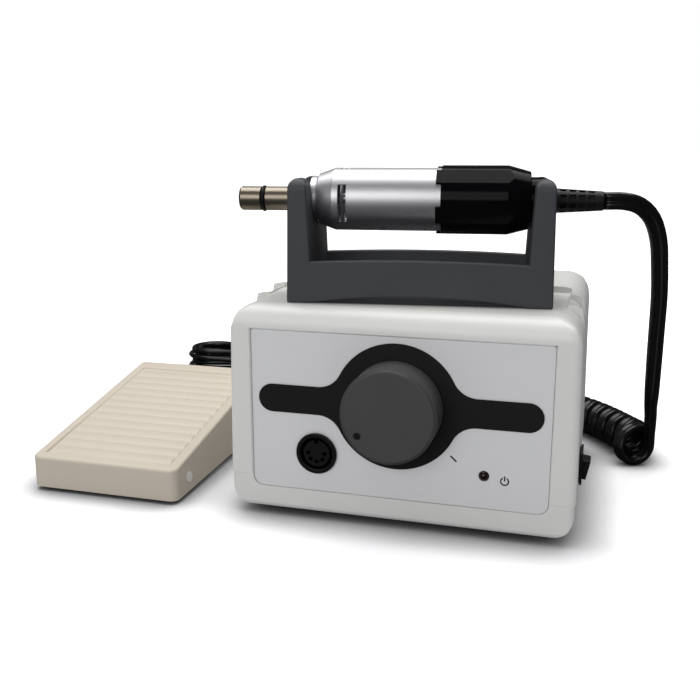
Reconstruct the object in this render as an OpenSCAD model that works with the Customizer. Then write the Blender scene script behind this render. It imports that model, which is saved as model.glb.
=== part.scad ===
// Dental micromotor set: control unit with cradle and handpiece, foot pedal, cords. Millimetres, z up from the floor.

/* [Control unit] */
// Width of the housing, left to right
housing_w = 138; // [134:1:144]
// Depth of the housing behind the label plane
housing_d = 120; // [119:1:126]
// Height of the top deck above the floor
deck_z = 86.7; // [85.5:0.1:90]
// Rise of the rear ridge above the deck
ridge_h = 2.6; // [1.6:0.1:3.6]
// Wall thickness of the housing
wall = 2.5; // [2.2:0.1:2.8]
// Height of the seam between the two halves
seam_z = 17; // [15:0.5:19]
// Height of the rubber feet
foot_h = 3; // [2.4:0.1:3.6]
// Width of the label panel
label_w = 117.2; // [114:0.1:118]
// Height of the label panel
label_h = 64.5; // [63:0.1:65]

/* [Controls] */
// Outer radius of the speed knob at its foot
knob_r = 18.5; // [17:0.1:20]
// Reach of the speed knob in front of the panel
knob_len = 14.6; // [13.4:0.1:16]
// Radius of the black disc behind the knob
band_r = 24.9; // [23:0.1:26]
// Height of the black arms beside the disc
band_arm_h = 11.3; // [9:0.1:13]
// Rest tilt of the power rocker
rocker_tilt = 12; // [8:1:13]

/* [Cradle] */
// Length of the cradle along the handpiece
cradle_l = 103; // [103:0.1:105]
// Depth of the cradle across the handpiece
cradle_w = 41.1; // [38:0.1:43]
// Height of the cradle posts
cradle_h = 48.2; // [46:0.1:50]
// Turn of the cradle on the deck
cradle_turn = 7.2; // [5:0.1:8]
// Thickness of the long cradle rails
rail_t = 3; // [2.4:0.1:4]

/* [Handpiece] */
// Radius of the silver motor casing
casing_r = 12.4; // [12:0.1:12.6]
// Radius of the coupling spigot
spigot_r = 4.8; // [4.6:0.05:5]
// Length of the spigot ahead of the nose
spigot_len = 29.8; // [29:0.1:32]
// Length of the cord boot
boot_len = 21.7; // [18:0.1:24]

/* [Pedal] */
// Width of the foot pedal
pedal_w = 69; // [66:0.1:72]
// Length of the foot pedal
pedal_l = 100.2; // [98:0.1:104]
// Height of the pedal at its front edge
pedal_front_h = 15.4; // [15.2:0.1:17]
// Height of the pedal at its back edge
pedal_back_h = 34.9; // [33:0.1:37]
// Space between the pedal and the housing
pedal_gap = 23.6; // [20:0.1:28]

/* [Cords] */
// Width of the flat handpiece cord
lead_w = 6.8; // [6:0.1:6.9]
// Thickness of the flat handpiece cord
lead_t = 3.4; // [2.8:0.1:3.4]
// Mean radius of the curls
curl_r = 7.5; // [7.2:0.1:7.6]
// Diameter of the round pedal cord
pedal_cord_d = 3; // [2.6:0.1:3]

/* [Hidden] */
$fn = 64;
eps = 0.01;

// Outside of the housing
half_w = housing_w / 2;
bezel = 1;
housing_back = housing_d;
corner_r = 10;
edge_r = 3;
back_r = 5;
top_r = deck_z - 78.2;
ridge_z = deck_z + ridge_h;
ridge_y = 62.6;
rim_x = 61;
rim_low_y = 27;
rim_high_y = 46;
seam_step = 0.4;

// Inside of the housing
cav_x = half_w - wall;
cav_front = 2.5;
cav_back = housing_back - wall;
cav_bottom = foot_h + wall;
cav_top = deck_z - wall;

// Posts, screws and feet of the housing
post_x = half_w - 11;
post_front_y = 9.7;
post_back_y = housing_d - 12;
post_r = 5;
post_top = 24;
screw_seat = 12;
screw_r = 1.6;
screw_head_r = 3.2;
foot_x = half_w - 19;
foot_front_y = 20;
foot_back_y = housing_d - 21;
foot_r = 6;

// Panels
label_z = 12.6;
panel_gap = 0.15;
panel_lip = 3;
panel_lip_t = 1.5;
panel_lip_top = 78;
panel_back = cav_front + panel_lip_t;
rear_w = 112;
rear_z = 12.6;
rear_h = 64.4;
rear_face = housing_back - 0.7;
rear_lip_front = cav_back - panel_lip_t;

// Knob, socket, light and switch
knob_z = 49.8;
knob_gap = 0.9;
knob_face_r = knob_r - 0.6;
dimple_x = 11.4;
dimple_z = 8.2;
dimple_r = 1.35;
dimple_depth = 1.2;
pot_shaft_r = 3;
bushing_r = 4.5;
band_t = 0.4;
band_half = 55.7;
band_fillet = 10;
din_x = -31.8;
din_z = 28.3;
din_flange_r = 8.34;
din_barrel_r = 7.5;
din_insert_r = 5.4;
din_pin_circle = 3.4;
led_x = 34.4;
led_z = 25.6;
led_r = 1.95;
switch_y = 20;
switch_z = 26.7;
switch_half_d = 4.8;
switch_half_h = 5.8;
switch_edge = 0.8;
switch_skin = 0.8;
switch_rim = 1.2;
switch_flange = 0.9;
rocker_pivot_x = half_w - 2.5;
rocker_half = 3.7;
rocker_out = 5.7;
rocker_up = 3.9;

// Board, transformer and rear fittings
board_x = 10;
board_y = 32;
board_w = 44;
board_d = 69;
board_z = 14;
board_t = 1.6;
core_x = -32;
core_y = housing_d - 63;
core_w = 54;
core_d = 30;
core_z = 7.5;
core_h = 45;
core_window_x = 13.5;
core_window_half = 4.5;
core_window_z = 9;
core_window_top = core_h - 9;
coil_half = core_window_x + core_window_half - 0.2;
coil_leg = core_window_x - core_window_half + 0.2;
coil_over = 9;
cap_x = 12;
cap_first_y = 20;
cap_pitch = 20;
cap_r = 8;
cap_top = cav_top - 39.2;
cap_crown = 1;
sink_x = 28;
sink_y = 12;
sink_t = 2.5;
sink_run = 44;
sink_top = cav_top - 34.2;
fin_count = 8;
fin_t = 1.3;
fin_reach = 9.5;
fuse_x = -35;
fuse_z = 62;
gland_x = 35;
gland_z = 30;
jack_z = 30;
jack_bore_r = 3.25;
fuse_cap_end = rear_face + 7.2;

// Cradle and handpiece: u runs along the handpiece from the left post
cradle_x = -46.5;
cradle_y = 8;
axis_h = cradle_h - 8.7;
notch_r = 9.4;
post_foot = 10.3;
post_tip = 8;
post_lean = 0.9;
rail_mid_h = 17.4;
rail_arc_r = 885;
rail_arch_h = 3.2;
rail_arch_r = 290;
web_t = 0.3;
web_in = 1.6;
nose_u = 6.8;
cone_u = 10.2;
casing_u = 16.4;
casing_end = 62;
vent_u = 19.1;
vent_pitch = 2.1;
vent_w = 1;
vent_arc = 72;
sleeve_u = 57.2;
tab_len = 2;
sleeve_taper_u = 85;
sleeve_end = 93.5;
cap_end = 99.6;
boot_end = cap_end + boot_len;
casing_in = casing_r - 1.1;
sleeve_r = casing_r + 1.05;
spigot_tip = nose_u - spigot_len;
oring_u = -13.1;
oring_t = 0.7;
oring_sunk = 0.25;
shaft_r = 2.5;
bearing_r = 8;
bearing_len = 5;
front_bearing_u = 11;
rear_bearing_u = 78;
brush_u = 64;
brush_len = 3;
rotor_r = casing_in - 2.7;
rotor_u = 28;
rotor_end = 56;
winding_r = rotor_r - 0.8;
winding_len = 4.5;
commutator_r = 4.5;
commutator_u = 61;
commutator_end = 70;
magnet_in = rotor_r + 0.6;
magnet_u = 26;
magnet_len = 32;
holder_end = 86;

// Pedal, in its own corner frame
pedal_x = -half_w - pedal_gap - pedal_w;
pedal_y = -3.7;
pedal_mid = pedal_w / 2;
pedal_slope = (pedal_back_h - pedal_front_h) / pedal_l;
pedal_wall = 2.2;
pedal_top_t = 3.1;
pedal_corner_r = 3.5;
tread_side = 3.2;
tread_front = 6;
tread_depth = 0.8;
rib_count = 13;
rib_r = 2.6;
rib_below = 0.4;
pivot_y = 12.7;
pivot_z = 8.5;
pivot_r = 2.3;
pin_proud = 0.4;
button_y = 44.7;
spring_y = 70;
spring_r = 4.4;
spring_wire_r = 0.6;
spring_top = 22;
pedal_gland_y = pedal_l - 7.2;
pedal_gland_z = 8.5;
pedal_foot_h = 1.5;
base_top = 4;

// Whole set: the origin lies under the middle of unit and pedal
rocker_tip_x = rocker_pivot_x + rocker_out * cos(rocker_tilt) + rocker_up * sin(rocker_tilt);
set_cx = (pedal_x - pin_proud + rocker_tip_x) / 2;
set_cy = (fuse_cap_end - knob_len) / 2;

// Curly cord: axis of the curls runs straight, bends wide and runs straight again
curl_pitch = 8.2;
curl_count = 20.25;
curl_rings = 8;
curl_z = curl_r + lead_t / 2 + 0.2;
curl_x0 = 99.4;
curl_y0 = 103;
curl_dir0 = 122;
curl_run0 = 30;
curl_bend_r = 100;
curl_bend_deg = 58;

// Plugs behind the unit
plug_x = 2;
plug_y = 144;
plug_z = 7.2;
jack_mouth = rear_face + 3.7;
jack_plug_len = 30;

// Hank of the pedal cord
hank_x = -153;
hank_y = 222;
hank_run = 50;
hank_r = 9;
hank_step = 3.8;
hank_layer = 3.7;
hank_z = 2.7;
hank_rings = 24;
hank_from = -1 / 8;
hank_to = 7 + 5 / 8;
hank_waist = 4.5;

// Places
module at_set() {
    translate([-set_cx, -set_cy, 0]) children();
}

module at_cradle() {
    at_set() translate([cradle_x, cradle_y, deck_z]) rotate([0, 0, cradle_turn]) children();
}

module at_handpiece() {
    at_cradle() translate([0, cradle_w / 2, axis_h]) rotate([0, 90, 0]) children();
}

module at_pedal() {
    at_set() translate([pedal_x, pedal_y, 0]) children();
}

module at_knob() {
    at_set() translate([0, 0, knob_z]) rotate([90, 0, 0]) children();
}

// Shapes
module ycyl(r, y0, y1) {
    translate([0, y0, 0]) rotate([-90, 0, 0]) cylinder(r = r, h = y1 - y0);
}

module xcyl(r, x0, x1) {
    translate([x0, 0, 0]) rotate([0, 90, 0]) cylinder(r = r, h = x1 - x0);
}

module ucyl(r, u0, u1) {
    translate([0, 0, u0]) cylinder(r = r, h = u1 - u0);
}

module ucone(r0, r1, u0, u1) {
    translate([0, 0, u0]) cylinder(r1 = r0, r2 = r1, h = u1 - u0);
}

module extrude_y(y0, y1) {
    translate([0, y1, 0]) rotate([90, 0, 0]) linear_extrude(y1 - y0) children();
}

module extrude_x(x0, x1) {
    translate([x0, 0, 0]) rotate([90, 0, 90]) linear_extrude(x1 - x0) children();
}

module box(x0, x1, y0, y1, z0, z1) {
    translate([x0, y0, z0]) cube([x1 - x0, y1 - y0, z1 - z0]);
}

module corner_rounder(r) {
    difference() {
        square(r + 1);
        circle(r);
    }
}

// Rectangle with a radius of its own at each corner, from bottom left round to top left
module boxed(w, h, bl, br, tr, tl) {
    difference() {
        square([w, h]);
        if (bl > 0) translate([bl, bl]) rotate(180) corner_rounder(bl);
        if (br > 0) translate([w - br, br]) rotate(270) corner_rounder(br);
        if (tr > 0) translate([w - tr, h - tr]) corner_rounder(tr);
        if (tl > 0) translate([tl, h - tl]) rotate(90) corner_rounder(tl);
    }
}

// Sweeps: rings along a path, joined by triangles
function unit(v) = v / norm(v);
function mix(a, b, k) = a + (b - a) * k;
function smooth(k) = k <= 0 ? 0 : k >= 1 ? 1 : k * k * (3 - 2 * k);
function spline_at(p, i, t) = let (a = p[max(i - 1, 0)], b = p[i], c = p[i + 1], d = p[min(i + 2, len(p) - 1)])
    0.5 * (2 * b + (c - a) * t + (2 * a - 5 * b + 4 * c - d) * t * t + (3 * b - a - 3 * c + d) * t * t * t);
function spline(p, k) = [for (i = [0 : len(p) - 2]) for (s = [0 : k - 1]) spline_at(p, i, s / k), p[len(p) - 1]];
function tangent(p, i) = unit(p[min(i + 1, len(p) - 1)] - p[max(i - 1, 0)]);
function ring(p, t, n0, section) = let (w = unit(cross(n0, t)), n = cross(t, w))
    [for (s = section) p + s[0] * w + s[1] * n];
function flat_all(rings) = [for (r = rings) for (p = r) p];
function side_faces(count, m) = [for (i = [0 : count - 2]) for (j = [0 : m - 1]) for (k = [0, 1])
    let (a = i * m + j, b = i * m + (j + 1) % m, c = b + m, d = a + m) k == 0 ? [a, d, c] : [a, c, b]];
function cap_faces(count, m) = [for (j = [1 : m - 2]) for (k = [0, 1])
    let (e = (count - 1) * m) k == 0 ? [0, j, j + 1] : [e, e + j + 1, e + j]];
function path_length(p) = len(p) < 2 ? 0 : [for (i = 1, s = norm(p[1] - p[0]); i < len(p);
    s = s + (i + 1 < len(p) ? norm(p[i + 1] - p[i]) : 0), i = i + 1) s][len(p) - 2];
function round_section(r, m) = [for (j = [0 : m - 1]) r * [cos(360 * j / m), sin(360 * j / m)]];
function flat_section(w, t) = [[w / 2, t / 5], [w * 0.4, t / 2], [-w * 0.4, t / 2], [-w / 2, t / 5],
    [-w / 2, -t / 5], [-w * 0.4, -t / 2], [w * 0.4, -t / 2], [w / 2, -t / 5]];
function curl_section(w, t) = [[w / 2, 0], [w * 0.36, t / 2], [-w * 0.36, t / 2], [-w / 2, 0],
    [-w * 0.36, -t / 2], [w * 0.36, -t / 2]];

module tube(rings) {
    m = len(rings[0]);
    polyhedron(points = flat_all(rings), faces = concat(side_faces(len(rings), m), cap_faces(len(rings), m)));
}

// A round or flat cord along route points; its broad side faces n0 at the start and n1 at the end
module cord(route, steps, section, n0, n1) {
    path = spline(route, steps);
    last = len(path) - 1;
    tube([for (i = [0 : last]) ring(path[i], tangent(path, i), unit(mix(n0, n1, smooth(i / last))), section)]);
}

// Housing outside, with the raised rims and the rear ridge
module unit_front_outline(top, inset) {
    translate([-half_w + inset, foot_h])
        boxed(housing_w - 2 * inset, top - foot_h, corner_r, corner_r, corner_r, corner_r);
}

module rim_outline(top) {
    difference() {
        unit_front_outline(top, 0);
        translate([-rim_x, 0]) square([2 * rim_x, top + 1]);
        translate([-half_w - 1, 0]) square([housing_w + 2, deck_z - corner_r - 5]);
    }
}

module unit_plan(inset) {
    translate([-half_w + inset, -bezel + inset])
        boxed(housing_w - 2 * inset, housing_back + bezel - 2 * inset, edge_r, edge_r, back_r, back_r);
}

module unit_outside() {
    intersection() {
        union() {
            extrude_y(-bezel, housing_back) unit_front_outline(deck_z, 0);
            extrude_y(rim_low_y, ridge_y) rim_outline(deck_z + ridge_h / 2);
            extrude_y(rim_high_y, ridge_y) rim_outline(ridge_z);
            extrude_y(ridge_y, housing_back) unit_front_outline(ridge_z, 0);
        }
        extrude_x(-half_w, half_w) union() {
            translate([-bezel, foot_h])
                boxed(housing_back + bezel, deck_z - foot_h, edge_r, back_r, 0, top_r);
            translate([rim_low_y, seam_z + 20])
                boxed(housing_back - rim_low_y, ridge_z - seam_z - 20, 0, 0, back_r, 0);
        }
        linear_extrude(ridge_z + 1) unit_plan(0);
    }
}

module unit_lower_outside() {
    intersection() {
        extrude_y(-bezel, housing_back) unit_front_outline(deck_z, seam_step);
        extrude_x(-half_w, half_w) translate([-bezel + seam_step, foot_h])
            boxed(housing_back + bezel - 2 * seam_step, deck_z - foot_h, edge_r, back_r, 0, 0);
        linear_extrude(seam_z) unit_plan(seam_step);
    }
}

module unit_cavity() {
    in_r = corner_r - wall;
    intersection() {
        extrude_y(cav_front, cav_back) translate([-cav_x, cav_bottom])
            boxed(2 * cav_x, cav_top - cav_bottom, in_r, in_r, in_r, in_r);
        extrude_x(-cav_x, cav_x) translate([cav_front, cav_bottom])
            boxed(cav_back - cav_front, cav_top - cav_bottom, 1, 2, 2, top_r - wall);
    }
}

module panel_openings() {
    extrude_y(-bezel - 1, cav_front + eps) translate([-label_w / 2 - panel_gap, label_z - panel_gap])
        boxed(label_w + 2 * panel_gap, label_h + 2 * panel_gap, 4, 4, 0.8, 0.8);
    box(-rear_w / 2 - panel_gap, rear_w / 2 + panel_gap, cav_back - eps, housing_back + 1,
        rear_z - panel_gap, rear_z + rear_h + panel_gap);
}

module at_posts() {
    for (x = [-post_x, post_x]) for (y = [post_front_y, post_back_y]) translate([x, y, 0]) children();
}

module upper_housing() {
    color([0.93, 0.93, 0.92]) at_set() difference() {
        union() {
            difference() {
                unit_outside();
                unit_cavity();
                panel_openings();
                box(-half_w - 1, half_w + 1, -bezel - 1, housing_back + 1, 0, seam_z);
            }
            at_posts() ucyl(4, post_top, cav_top + 0.8);
        }
        at_posts() ucyl(screw_r + 0.05, post_top - 1, 42);
        translate([0, switch_y, switch_z]) box(cav_x - 1, half_w + 1, -switch_half_d - 0.1, switch_half_d + 0.1,
            -switch_half_h - 0.1, switch_half_h + 0.1);
    }
}

module lower_housing() {
    color([0.91, 0.91, 0.9]) at_set() difference() {
        union() {
            difference() {
                unit_lower_outside();
                unit_cavity();
                panel_openings();
            }
            at_posts() ucyl(post_r, foot_h + 1, post_top);
            board_posts();
            box(core_x - 25, core_x + 25, core_y + 2, core_y + core_d - 2, foot_h + 1, core_z);
        }
        at_posts() ucyl(screw_r + 0.15, 0, post_top + 1);
        at_posts() ucyl(screw_head_r + 0.2, 0, screw_seat);
    }
}

module board_posts() {
    for (x = [4, board_w - 4]) for (y = [4, board_d - 4]) translate([board_x + x, board_y + y, 0]) {
        ucyl(3, foot_h + 1, board_z);
        ucyl(1.4, board_z - 1, board_z + 2.6);
    }
}

module front_panel() {
    color([0.8, 0.8, 0.82]) at_set() difference() {
        union() {
            extrude_y(0, cav_front) translate([-label_w / 2, label_z]) boxed(label_w, label_h, 4, 4, 0.8, 0.8);
            box(-label_w / 2 - panel_lip, label_w / 2 + panel_lip, cav_front, panel_back,
                label_z - panel_lip, panel_lip_top);
        }
        translate([0, 0, knob_z]) ycyl(bushing_r + 0.1, -1, panel_back + 1);
        translate([din_x, 0, din_z]) ycyl(din_barrel_r + 0.1, -1, panel_back + 1);
        translate([led_x, 0, led_z]) ycyl(led_r + 0.1, -1, panel_back + 1);
    }
}

// Disc with two arms, blended by concave fillets
module band_outline() {
    arm = band_arm_h / 2;
    fz = arm + band_fillet;
    fx = sqrt(pow(band_r + band_fillet, 2) - fz * fz);
    touch = [fx, fz] * band_r / (band_r + band_fillet);
    circle(band_r);
    translate([-band_half + arm, -arm]) square([2 * band_half - 2 * arm, band_arm_h]);
    for (s = [-1, 1]) translate([s * (band_half - arm), 0]) circle(arm);
    for (sx = [0, 1]) for (sz = [0, 1]) mirror([sx, 0]) mirror([0, sz]) difference() {
        polygon([[fx * 0.6, arm - 0.5], [fx, arm - 0.5], [fx, fz], touch]);
        translate([fx, fz]) circle(band_fillet);
    }
}

module panel_band() {
    color([0.13, 0.13, 0.14]) at_set() translate([0, 0, knob_z]) difference() {
        extrude_y(-band_t, 0) band_outline();
        ycyl(bushing_r + 0.7, -1, 1);
    }
}

module rear_panel() {
    color([0.85, 0.85, 0.85]) at_set() difference() {
        union() {
            box(-rear_w / 2, rear_w / 2, cav_back, rear_face, rear_z, rear_z + rear_h);
            box(-rear_w / 2 - panel_lip, rear_w / 2 + panel_lip, rear_lip_front, cav_back,
                rear_z - panel_lip, rear_z + rear_h + panel_lip);
        }
        translate([fuse_x, 0, fuse_z]) ycyl(6.05, rear_lip_front - 1, housing_back + 1);
        translate([gland_x, 0, gland_z]) ycyl(5.05, rear_lip_front - 1, housing_back + 1);
        translate([0, 0, jack_z]) ycyl(bushing_r + 0.05, rear_lip_front - 1, housing_back + 1);
    }
}

module speed_knob() {
    color([0.16, 0.16, 0.17]) at_knob() difference() {
        union() {
            difference() {
                rotate_extrude() difference() {
                    polygon([[0, knob_gap], [knob_r, knob_gap], [knob_face_r, knob_len], [0, knob_len]]);
                    translate([knob_face_r - 1.1, knob_len - 1]) corner_rounder(1);
                }
                ucyl(knob_r - 3, knob_gap - 1, 9.5);
            }
            ucyl(6.5, 3.4, 10);
        }
        ucyl(pot_shaft_r + 0.02, 0, 11.2);
        translate([-dimple_x, -dimple_z, knob_len - dimple_depth]) cylinder(r = dimple_r, h = dimple_depth + 1);
    }
}

module pot_shaft() {
    color([0.72, 0.72, 0.74]) at_set() translate([0, 0, knob_z]) ycyl(pot_shaft_r, -11, 10);
}

module potentiometer() {
    color([0.6, 0.6, 0.62]) at_set() translate([0, 0, knob_z]) difference() {
        union() {
            ycyl(12, panel_back, 13.5);
            ycyl(bushing_r, -3, panel_back + 1);
            for (x = [-5, 0, 5]) box(x - 0.8, x + 0.8, 7, 8, -16, -9);
        }
        ycyl(pot_shaft_r + 0.06, -4, 10.3);
    }
}

module pot_nut() {
    color([0.75, 0.75, 0.77]) at_set() translate([0, 0, knob_z]) difference() {
        translate([0, -2.6, 0]) rotate([-90, 0, 0]) cylinder(r = 6.4, h = 2.6 - band_t, $fn = 6);
        ycyl(bushing_r + 0.06, -4, 1);
    }
}

function din_angles() = [180, 225, 270, 315, 360];

module din_holes(r, y0, y1) {
    for (a = din_angles())
        translate([din_pin_circle * cos(a), 0, din_pin_circle * sin(a)]) ycyl(r, y0, y1);
}

module socket_shell() {
    color([0.1, 0.1, 0.1]) at_set() translate([din_x, 0, din_z]) difference() {
        union() {
            ycyl(din_flange_r, -1.2, 0);
            ycyl(din_barrel_r, -0.5, 13);
        }
        ycyl(6.6, -2, 10);
        ycyl(5, 9, 14);
    }
}

module socket_insert() {
    color([0.14, 0.14, 0.14]) at_set() translate([din_x, 0, din_z]) difference() {
        ycyl(din_insert_r, -0.5, 10);
        din_holes(0.85, -1, 11);
        box(-0.9, 0.9, -1, 6, din_insert_r - 1.4, din_insert_r + 1);
    }
}

module socket_contacts() {
    color([0.75, 0.65, 0.4]) at_set() translate([din_x, 0, din_z]) din_holes(0.8, 5, 15);
}

module power_led() {
    color([0.7, 0.08, 0.07]) at_set() translate([led_x, 0, led_z]) {
        union() {
            ycyl(led_r, -0.3, panel_back + 0.5);
            intersection() {
                translate([0, 0.6, 0]) sphere(led_r + 0.02);
                ycyl(led_r, -2, 0);
            }
            ycyl(2.9, panel_back, panel_back + 1.2);
            for (x = [-1.27, 1.27]) box(x - 0.3, x + 0.3, panel_back + 1, panel_back + 10, -0.3, 0.3);
        }
    }
}

module switch_frame() {
    color([0.09, 0.09, 0.09]) at_set() translate([half_w, switch_y, switch_z]) difference() {
        union() {
            extrude_x(0, switch_flange) translate([-switch_half_d - switch_rim, -switch_half_h - switch_edge])
                boxed(2 * (switch_half_d + switch_rim), 2 * (switch_half_h + switch_edge), 1, 1, 1, 1);
            box(-15, 0, -switch_half_d, switch_half_d, -switch_half_h, switch_half_h);
            for (z = [-4, 0, 4]) box(-22, -14, -2.4, 2.4, z - 0.4, z + 0.4);
        }
        box(-12, 2, -switch_half_d + switch_skin, switch_half_d - switch_skin,
            -switch_half_h + switch_skin, switch_half_h - switch_skin);
        translate([rocker_pivot_x - half_w, 0, 0]) ycyl(1.25, -switch_half_d - 0.02, switch_half_d + 0.02);
    }
}

module power_rocker() {
    color([0.07, 0.07, 0.07]) at_set() translate([rocker_pivot_x, switch_y, switch_z])
        rotate([0, rocker_tilt, 0]) union() {
            extrude_y(-rocker_half, rocker_half) polygon([[rocker_out, rocker_up], [rocker_out, -rocker_up],
                [1, -3.6], [-3, -1.6], [-3, 1.6], [1, 3.6]]);
            ycyl(1.2, 0.1 - switch_half_d, switch_half_d - 0.1);
        }
}

module main_board() {
    color([0.1, 0.35, 0.2]) at_set() difference() {
        box(board_x, board_x + board_w, board_y, board_y + board_d, board_z, board_z + board_t);
        for (x = [4, board_w - 4]) for (y = [4, board_d - 4])
            translate([board_x + x, board_y + y, 0]) ucyl(1.5, board_z - 1, board_z + board_t + 1);
    }
}

module board_capacitors() {
    color([0.12, 0.14, 0.3]) at_set() for (i = [0, 1])
        translate([board_x + cap_x, board_y + cap_first_y + i * cap_pitch, 0]) {
            ucyl(cap_r, board_z + board_t, cap_top);
            ucyl(cap_r - 0.8, cap_top - 1, cap_top + cap_crown);
        }
}

module heat_sink() {
    color([0.55, 0.56, 0.58]) at_set() union() {
        fin_pitch = (sink_run - fin_t) / (fin_count - 1);
        x0 = board_x + sink_x;
        y0 = board_y + sink_y;
        z0 = board_z + board_t;
        box(x0, x0 + sink_t, y0, y0 + sink_run, z0, sink_top);
        for (i = [0 : fin_count - 1]) translate([0, y0 + i * fin_pitch, 0])
            box(x0 + sink_t - 0.5, x0 + sink_t - 0.5 + fin_reach, 0, fin_t, z0, sink_top);
    }
}

module transformer_core() {
    color([0.35, 0.35, 0.37]) at_set() translate([core_x, core_y, core_z]) difference() {
        box(-core_w / 2, core_w / 2, 0, core_d, 0, core_h);
        for (s = [-1, 1]) box(s * core_window_x - core_window_half, s * core_window_x + core_window_half,
            -1, core_d + 1, core_window_z, core_window_top);
    }
}

module transformer_coil() {
    color([0.62, 0.36, 0.16]) at_set() translate([core_x, core_y, core_z]) difference() {
        box(-coil_half, coil_half, -coil_over, core_d + coil_over, core_window_z, core_window_top - 0.2);
        box(-coil_leg, coil_leg, -0.2, core_d + 0.2, core_window_z - 1, core_window_top + 1);
    }
}

module mains_gland() {
    color([0.09, 0.09, 0.09]) at_set() translate([gland_x, 0, gland_z]) difference() {
        union() {
            ycyl(5, rear_lip_front - 4, rear_face + 1);
            ycyl(7, rear_face, rear_face + 2.5);
        }
        ycyl(3.3, rear_lip_front - 5, rear_face + 4);
    }
}

module fuse_holder() {
    color([0.1, 0.1, 0.1]) at_set() translate([fuse_x, 0, fuse_z]) difference() {
        union() {
            ycyl(6, rear_face - 24, rear_face + 1);
            ycyl(8, rear_face, rear_face + 2);
        }
        ycyl(3.2, rear_face - 22, rear_face + 3);
    }
}

module fuse_cap() {
    color([0.14, 0.14, 0.14]) at_set() translate([fuse_x, 0, fuse_z]) difference() {
        union() {
            ycyl(5.5, rear_face + 2, fuse_cap_end);
            ycyl(3.15, rear_face - 12, rear_face + 3);
        }
        box(-4, 4, fuse_cap_end - 1.2, fuse_cap_end + 1, -0.7, 0.7);
    }
}

module pedal_jack() {
    color([0.12, 0.12, 0.12]) at_set() translate([0, 0, jack_z]) difference() {
        union() {
            box(-8, 8, rear_lip_front - 24, rear_lip_front, -8, 8);
            ycyl(bushing_r, rear_lip_front - 1, rear_face + 3.7);
            ycyl(7, rear_face, rear_face + 2);
        }
        ycyl(jack_bore_r, rear_face - 26, rear_face + 5);
    }
}

module rubber_feet() {
    color([0.1, 0.1, 0.1]) at_set() for (x = [-foot_x, foot_x]) for (y = [foot_front_y, foot_back_y])
        translate([x, y, 0]) union() {
            ucyl(foot_r, 0.6, foot_h);
            ucyl(foot_r - 0.6, 0, 1);
        }
}

module housing_screws() {
    color([0.6, 0.6, 0.62]) at_set() at_posts() difference() {
        union() {
            ucyl(screw_head_r, screw_seat - 3, screw_seat);
            ucyl(screw_r, screw_seat - 1, 40);
        }
        box(-2.2, 2.2, -0.45, 0.45, screw_seat - 4, screw_seat - 1.6);
        box(-0.45, 0.45, -2.2, 2.2, screw_seat - 4, screw_seat - 1.6);
    }
}

// Cradle: arched long rails and two uprights with a notch for the handpiece
module rail_outline() {
    difference() {
        intersection() {
            square([cradle_l, rail_mid_h + 1]);
            translate([cradle_l / 2, rail_mid_h - rail_arc_r]) circle(rail_arc_r);
        }
        translate([cradle_l / 2, rail_arch_h - rail_arch_r]) circle(rail_arch_r);
    }
}

module upright_outline() {
    round_r = (post_tip - post_lean) / 2;
    top = cradle_h - round_r;
    polygon([[0, 0], [post_foot, 0], [post_tip, top], [post_lean, top]]);
    translate([post_lean + round_r, top]) circle(round_r);
}

module upright_end_outline() {
    difference() {
        boxed(cradle_w, cradle_h + 1, 0, 0, 5, 5);
        translate([cradle_w / 2, axis_h]) circle(notch_r);
        translate([cradle_w / 2 - notch_r, axis_h]) square([2 * notch_r, cradle_h]);
    }
}

module cradle() {
    color([0.24, 0.24, 0.26]) at_cradle() union() {
        extrude_y(0, rail_t) rail_outline();
        extrude_y(cradle_w - rail_t, cradle_w) rail_outline();
        box(post_foot / 2, cradle_l - post_foot / 2, web_in, cradle_w - web_in, 0, web_t);
        intersection() {
            extrude_y(0, cradle_w) union() {
                upright_outline();
                translate([cradle_l, 0]) mirror([1, 0]) upright_outline();
            }
            extrude_x(-1, cradle_l + 1) upright_end_outline();
        }
    }
}

// Handpiece, turned round its axis
module coupling_spigot() {
    color([0.8, 0.8, 0.82]) at_handpiece() difference() {
        union() {
            ucone(spigot_r - 0.6, spigot_r, spigot_tip, spigot_tip + 0.8);
            ucyl(spigot_r, spigot_tip + 0.8, oring_u - 1);
            ucyl(spigot_r - oring_sunk - oring_t - 0.05, oring_u - 2, oring_u + 2);
            ucyl(spigot_r, oring_u + 1, nose_u + 1);
            ucyl(6, nose_u, 10);
        }
        ucyl(shaft_r + 0.25, spigot_tip - 1, 11);
    }
}

module spigot_oring() {
    color([0.08, 0.08, 0.08]) at_handpiece() translate([0, 0, oring_u])
        rotate_extrude() translate([spigot_r - oring_sunk, 0]) circle(oring_t);
}

module drive_dog() {
    color([0.65, 0.66, 0.68]) at_handpiece() difference() {
        ucyl(shaft_r, -16, 2.5);
        box(-4, 4, -0.8, 0.8, -17, -12);
    }
}

module rotor_shaft() {
    color([0.7, 0.7, 0.72]) at_handpiece() ucyl(shaft_r, 2.5, 84);
}

module rotor_core() {
    color([0.45, 0.45, 0.47]) at_handpiece() difference() {
        ucyl(rotor_r, rotor_u, rotor_end);
        ucyl(shaft_r + 0.02, rotor_u - 1, rotor_end + 1);
        for (a = [0 : 60 : 300]) rotate(a) box(rotor_r - 2.4, rotor_r + 1, -0.8, 0.8, rotor_u - 1, rotor_end + 1);
    }
}

module rotor_windings() {
    color([0.72, 0.4, 0.18]) at_handpiece() difference() {
        union() {
            ucyl(winding_r, rotor_u - winding_len, rotor_u);
            ucyl(winding_r, rotor_end, rotor_end + winding_len);
        }
        ucyl(shaft_r + 0.02, rotor_u - winding_len - 1, rotor_end + winding_len + 1);
    }
}

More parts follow.
